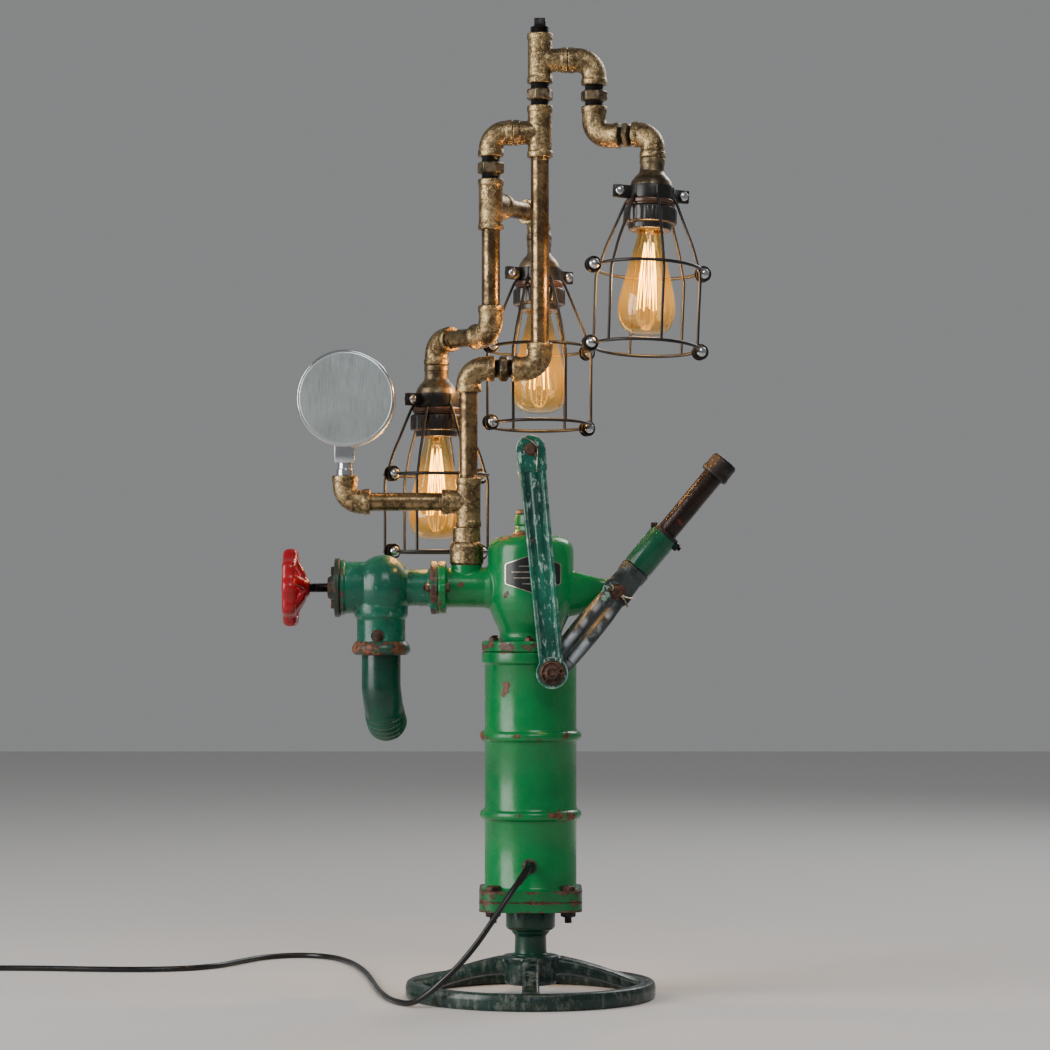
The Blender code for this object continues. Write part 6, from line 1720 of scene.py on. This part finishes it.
# ---------------------------------------------------------------- gauge
def make_gauge():
    facing = placed(GAUGE_CENTRE, (0, 1, 0))
    case = lathe([(0.0, -0.0210), (0.0512, -0.0210), (0.0532, -0.0200), (GAUGE_RADIUS - 0.0004, -0.0165),
                  (GAUGE_RADIUS - 0.0004, 0.0150), (0.0505, 0.0150), (0.0505, -0.0040),
                  (0.0, -0.0040)],
                 144, facing, soft=0.0008)
    piece("gauge_shell", case, STEEL, "base", "bright_steel", "gauge_case")
    rim = lathe([(0.0522, -0.0212), (0.0538, -0.0210), (0.0549, -0.0190), (0.0549, -0.0150),
                 (0.0530, -0.0150)], 144, facing, hollow=True, soft=0.0006)
    piece("gauge_back_rim", rim, POLISHED, "base", "bright_steel")
    ring = lathe([(0.0549, 0.0146), (0.0552, 0.0190), (0.0538, 0.0216), (0.0510, 0.0222), (0.0462, 0.0196),
                  (0.0460, 0.0155), (0.0505, 0.0146)], 144, facing, hollow=True, soft=0.0008)
    piece("gauge_ring", ring, POLISHED, "base", "bright_steel", "gauge_bezel")
    x = GAUGE_CENTRE.x - 0.0015
    stem = lathe([(0.0, 0.5835), (0.0098, 0.5835), (0.0098, 0.5915), (0.0084, 0.5925), (0.0084, 0.5995),
                  (0.0, 0.5995)], 48, Matrix.Translation((x, 0, 0)), soft=0.0005)
    block = box((x - 0.0115, -0.0115, 0.5990), (x + 0.0115, 0.0115, 0.6230), 0.0016)
    piece("gauge_socket", gather([stem, block]), POLISHED, "base", "bright_steel")
    piece("dial_face",
          lathe([(0.0, -0.0038), (0.0502, -0.0038), (0.0502, -0.0032), (0.0, -0.0032)], 96, facing),
          DIAL_WHITE,
          "base", "bright_steel")
    marks = []
    for index in range(51):
        angle = math.radians(225 - 270 * index / 50)
        major = index % 5 == 0
        outward = Vector((-math.cos(angle), 0, math.sin(angle)))
        start = GAUGE_CENTRE + outward * (0.0375 if major else 0.0400) + along_y(-0.0032)
        marks.append(sweep([(start, outward, 0.0006 if major else 0.0003, 0.00015),
                            (GAUGE_CENTRE + outward * 0.0430 + along_y(-0.0032), outward,
                             0.0006 if major else 0.0003,
                             0.00015)], [(1, 1), (-1, 1), (-1, -1), (1, -1)], outward.cross(along_y(1))))
        if major:
            marks.append(dial_number(str(index // 5), GAUGE_CENTRE + outward * 0.0318 + along_y(-0.0031)))
    piece("dial_marks", gather(marks), DIAL_BLACK, "base", "bright_steel")
    needle = [rod(GAUGE_CENTRE + along_y(-0.0036), GAUGE_CENTRE + along_y(0.0060), 0.0042, 36, 0.0006)]
    needle.append(sweep([(GAUGE_CENTRE + Vector((-0.0105, 0.003, 0.0105)), (1, 0, -1), 0.0005, 0.0020),
                         (GAUGE_CENTRE + along_y(0.003), (1, 0, -1), 0.0005, 0.0016),
                         (GAUGE_CENTRE + Vector((0.0275, 0.003, -0.0275)), (1, 0, -1), 0.0004, 0.0004)],
                        squircle(12), (0, 1, 0)))
    piece("pointer", gather(needle), DIAL_BLACK, "gauge_pointer", "pointer_black", "gauge_pointer")
    glass = lathe([(0.0, 0.0150), (0.0458, 0.0150), (0.0458, 0.0168), (0.0, 0.0168)], 96, facing,
                  soft=0.0003)
    window = piece("gauge_window", glass, WINDOW, "base", "bulb_glass")
    window.visible_shadow = False


def dial_number(text, place):
    curve = bpy.data.curves.new("number", "FONT")
    curve.body = text
    curve.size = 0.0085
    curve.extrude = 0.00012
    curve.align_x = "CENTER"
    curve.align_y = "CENTER"
    item = bpy.data.objects.new("number", curve)
    link(item)
    graph = bpy.context.evaluated_depsgraph_get()
    mesh = bpy.data.meshes.new_from_object(item.evaluated_get(graph))
    bpy.data.objects.remove(item)
    mesh.transform(Matrix.Translation(place) @ Matrix.Rotation(math.pi, 4, "Z")
                   @ Matrix.Rotation(math.pi / 2, 4, "X"))
    return mesh


# ---------------------------------------------------------------- lamps
# Each lamp is made hanging down local -Z, with the origin at its pipe's rim.
CLAMP_MIDDLE = 0.0233
CAGE_RADIUS = 0.0595
CAGE_MID = 0.1255            # depths of the guard's two rings
CAGE_BOTTOM = 0.214


def bell_mesh():
    return lathe([(0.0, 0.0), (0.0138, 0.0), (0.0142, -0.0010), (0.0142, -0.0060), (0.0136, -0.0066),
                  (0.0138, -0.0150),
                  (0.0152, -0.0178), (0.0188, -0.0215), (0.0222, -0.0262), (0.0240, -0.0315),
                  (0.0240, -0.0330),
                  (0.0, -0.0330)], 64, soft=0.0008)


def socket_mesh():
    def ribs(angle, radius, height):
        return 1.0 + (0.010 * math.cos(28 * angle) if radius > 0.0285 and -0.0740 < height < -0.0585
                      else 0.0)

    return lathe([(0.0, -0.0326), (0.0208, -0.0326), (0.0208, -0.0560), (0.0284, -0.0566),
                  (0.0296, -0.0580),
                  (0.0298, -0.0660), (0.0298, -0.0735), (0.0288, -0.0748), (0.0244, -0.0756),
                  (0.0240, -0.0815),
                  (0.0225, -0.0822), (0.0150, -0.0822), (0.0142, -0.0810), (0.0142, -0.0540),
                  (0.0, -0.0540)], 168, wave=ribs, soft=0.0008)


def socket_ring_mesh():
    return lathe([(0.0206, -0.0482), (0.0268, -0.0482), (0.0276, -0.0496), (0.0276, -0.0532),
                  (0.0262, -0.0540),
                  (0.0262, -0.0556), (0.0206, -0.0556)], 96, hollow=True, soft=0.0006)


def glass_profile():
    """The envelope's outline from its neck to its tip, as radius and depth."""
    points = [(0.0128, 0.0560), (0.0132, 0.0820), (0.0158, 0.0960), (0.0205, 0.1150), (0.0262, 0.1380),
              (0.0305, 0.1560),
              (0.0322, 0.1700), (0.0308, 0.1825), (0.0262, 0.1925), (0.0180, 0.1980), (0.0080, 0.1998)]
    fine = spline_points([Vector((radius, 0, depth)) for radius, depth in points], 5)
    return [(point.x, point.z) for point in fine] + [(0.0, 0.2000)]


def glass_mesh():
    outer = glass_profile()
    inner = [(max(radius - 0.0009, 0.0), depth - 0.0009 * (depth > 0.180)) for radius,
             depth in reversed(outer)]
    profile = [(radius, -depth) for radius, depth in outer] + [(radius, -depth) for radius, depth in inner]
    return lathe(profile, 64, hollow=True)


def cap_mesh():
    return lathe([(0.0, -0.0545), (0.0118, -0.0545)] + [(radius, -height) for radius, height in
                                                        thread_profile(0.0128, 0.0560, 0.0790, 0.0036,
                                                                       0.0010)] + [(0.0, -0.0790)], 40)


FILAMENT_LOOPS = 6
FILAMENT_TOP = (0.0052, 0.0960)      # reach from the bulb's axis, depth below the pipe's rim
FILAMENT_BOTTOM = (0.0112, 0.1720)


def filament_mesh():
    """Tall hairpin loops of wire, zigzag between the upper and the lower supports."""
    strands = []
    for index in range(2 * FILAMENT_LOOPS):
        knots = []
        for end in (0, 1):
            angle = math.pi * (index + end) / FILAMENT_LOOPS
            reach, depth = FILAMENT_BOTTOM if (index + end) % 2 else FILAMENT_TOP
            knots.append(Vector((reach * math.cos(angle), reach * math.sin(angle), -depth)))
        middle = (knots[0] + knots[1]) / 2
        middle += Vector((middle.x, middle.y, 0)) * 0.12
        strands.append(sweep(along_points(spline_points([knots[0], middle, knots[1]], 4),
                                          (0.00050, 0.00050)),
                             circle(6), (0.3, 0.9, 0)))
    return gather(strands)


def stem_mesh():
    """The glass mount and its support wires."""
    parts = [lathe([(0.0, -0.0790), (0.0060, -0.0790), (0.0044, -0.0850), (0.0022, -0.0900),
                    (0.0014, -0.1100),
                    (0.0014, -0.1640), (0.0022, -0.1660), (0.0, -0.1680)], 24)]
    for index in range(2 * FILAMENT_LOOPS):
        angle = math.pi * index / FILAMENT_LOOPS
        reach, depth = FILAMENT_BOTTOM if index % 2 else FILAMENT_TOP
        root = -UP * (0.1655 if index % 2 else 0.0900)
        parts.append(rod(root, Vector((reach * math.cos(angle), reach * math.sin(angle), -depth)), 0.00022,
                         6))
    return gather(parts)


def arc_line(radius, height, first, last, steps):
    return [Vector((radius * math.cos(first + (last - first) * k / steps),
                    radius * math.sin(first + (last - first) * k / steps),
                    height)) for k in range(steps + 1)]


def cage_half_mesh():
    """Half a guard on the +Y side of the split: clamp, ears, three wires and two half rings."""
    gap = 0.0007
    start = math.asin(gap / CLAMP_MIDDLE)
    clamp = sweep(along_points(arc_line(CLAMP_MIDDLE + 0.0004, -0.0400, start, math.pi - start, 40),
                               (0.0076, 0.0017)),
                  squircle(20, 6.0), UP)
    meshes = [clamp]
    for depth in (CAGE_MID, CAGE_BOTTOM):
        start = math.asin(0.0010 / CAGE_RADIUS)
        meshes.append(sweep(along_points(arc_line(CAGE_RADIUS, -depth, start, math.pi - start, 60),
                                         (0.0019, 0.0019)),
                            circle(14), UP))
    for angle in (math.radians(30), math.radians(90), math.radians(150)):
        outward = Vector((math.cos(angle), math.sin(angle), 0))
        knots = [outward * radius - UP * depth for radius, depth in
                 ((0.0246, 0.0335), (0.0252, 0.0440), (0.0300, 0.0520), (0.0410, 0.0790), (0.0500, 0.1010),
                  (CAGE_RADIUS - 0.0022, CAGE_MID), (CAGE_RADIUS + 0.0002, 0.1350), (CAGE_RADIUS, 0.1750),
                  (CAGE_RADIUS, CAGE_BOTTOM + 0.0010))]
        meshes.append(sweep(along_points(spline_points(knots, 5), (0.0016, 0.0016)), circle(14),
                            UP.cross(outward)))
    for side in (-1, 1):
        ear = sorted((side * 0.0235, side * 0.0440))
        meshes.append(box((ear[0], gap / 2, -0.0472), (ear[1], 0.0030, -0.0328), 0.0009))
        for depth in (CAGE_MID, CAGE_BOTTOM):
            lug = sorted((side * (CAGE_RADIUS - 0.0020), side * (CAGE_RADIUS + 0.0080)))
            meshes.append(box((lug[0], gap / 2, -depth - 0.0044), (lug[1], 0.0026, -depth + 0.0044),
                              0.0008))
    return gather(meshes)


def cage_screw_meshes():
    """Chrome screws at the clamp's ears and the lugs, and the black washers under them."""
    chrome, black = [], []
    for side in (-1, 1):
        ear = Vector((side * 0.0372, 0, -0.0400))
        for facing in (-1, 1):
            black.append(washer(ear + along_y(facing * 0.0028), (0, facing, 0), 0.0066, 0.0010))
            if facing < 0:
                screw = dome(ear + along_y(facing * 0.0036), (0, facing, 0), 0.0054, 0.0034)
                slot = box(ear + Vector((-0.0062, facing * 0.0074, -0.0006)),
                           ear + Vector((0.0062, facing * 0.0060, 0.0006)))
                chrome.append(cut(screw, slot))
            else:
                chrome.append(hexagon_head(ear + along_y(facing * 0.0036), (0, facing, 0), 0.0078, 0.0030))
        for depth in (CAGE_MID, CAGE_BOTTOM):
            place = Vector((side * (CAGE_RADIUS + 0.0046), 0, -depth))
            for facing in (-1, 1):
                black.append(washer(place + along_y(facing * 0.0024), (0, facing, 0), 0.0090, 0.0014))
                chrome.append(dome(place + along_y(facing * 0.0036), (0, facing, 0), 0.0060, 0.0052))
    return gather(chrome), gather(black)


def lamp_placing(rim_centre, axis, split_angle):
    placing = placed(rim_centre, -axis)
    across = placing.to_3x3() @ Vector((1, 0, 0))
    wanted = Vector((math.cos(split_angle), math.sin(split_angle), 0))
    level = Vector((across.x, across.y, 0)).normalized()
    swing = math.atan2(level.cross(wanted).z, level.dot(wanted))
    return placing @ Matrix.Rotation(swing, 4, "Z") @ Matrix.Translation((0, 0, -0.0003))


def moved(mesh, matrix):
    own = mesh.copy()
    own.transform(matrix)
    return own


BULB_LIGHT_POWER = 2.6
BULB_LIGHT_COLOUR = (1.0, 0.52, 0.17)
BULB_LIGHT_SIZE = 0.012
BULB_LIGHT_DEPTH = 0.135     # below the pipe's rim
GLOW_DEPTH = 0.150


def bulb_light(number, placing):
    """A warm light in a bulb, which is seen only by what it lights."""
    data = bpy.data.lights.new(f"bulb_light_{number}", "POINT")
    data.energy = BULB_LIGHT_POWER
    data.color = BULB_LIGHT_COLOUR
    data.shadow_soft_size = BULB_LIGHT_SIZE
    light = bpy.data.objects.new(f"bulb_light_{number}", data)
    light.location = PUMP_AXIS + placing @ Vector((0, 0, -BULB_LIGHT_DEPTH))
    light.visible_camera = False
    light.visible_transmission = False
    link(light)


LAMP_2_REACH = 0.0315
CASTS_NO_SHADOW = ("glass_{}", "bulb_stem_{}")


def lamp_parts():
    """A lamp's pieces: name, mesh, material, slot and CAD node. The glass takes a material of its own."""
    half = cage_half_mesh()
    chrome, black = cage_screw_meshes()
    return (
        ("bell_{}", bell_mesh(), AGED_BRASS, "bronze_fitting", None),
        ("socket_{}", socket_mesh(), BAKELITE, "bakelite", "lamp_holder_{}"),
        ("socket_ring_{}", socket_ring_mesh(), BROWN_RING, "bakelite", None),
        ("glass_{}", glass_mesh(), None, "bulb_glass", "bulb_{}"),
        ("bulb_cap_{}", cap_mesh(), CAP_METAL, "bright_steel", None),
        ("bulb_stem_{}", stem_mesh(), WINDOW, "bulb_glass", None),
        ("filament_{}", filament_mesh(), FILAMENT, "bulb_glass", None),
        ("guard_{}_back", half, WIRE, "guard_wire", "cage_{}_back"),
        ("guard_{}_front", half, WIRE, "guard_wire", "cage_{}_front"),
        ("guard_screws_{}", chrome, CHROME, "bright_steel", None),
        ("guard_washers_{}", black, BLACK_STEEL, "guard_wire", None),
    )


def make_lamps():
    parts = lamp_parts()
    # middle of the pipe's rim, direction of the pipe, and the turn of the guard in degrees
    lamps = ((LAMP_1_CORNER + LAMP_1_AXIS * REACH, LAMP_1_AXIS, 15),
             (LAMP_2_CORNER + LAMP_2_AXIS * LAMP_2_REACH, LAMP_2_AXIS, 30),
             (LAMP_3_CORNER - UP * REACH, -UP, 40))
    for number, (rim_centre, axis, split) in enumerate(lamps, 1):
        at = lamp_placing(rim_centre, axis, math.radians(split))
        turned = at @ Matrix.Rotation(math.pi, 4, "Z")
        envelope = amber_glass(f"amber_glass_{number}", (at @ Vector((0, 0, -GLOW_DEPTH))).z)
        for name, mesh, material, slot, node in parts:
            placing = turned if name == "guard_{}_front" else at
            nodes = [node.format(number)] if node else []
            item = piece(name.format(number), moved(mesh, placing), material or envelope, "base", slot,
                         *nodes)
            if name in CASTS_NO_SHADOW:
                item.visible_shadow = False
        bulb_light(number, at)


make_cord()
make_base()
make_flanges()
make_barrel()
make_head()
make_rod()
make_lever()
make_links()
make_valve()
make_spout()
make_valve_works()
make_riser()
make_top()
make_right_branch()
make_left_branch()
make_gauge()
make_lamps()
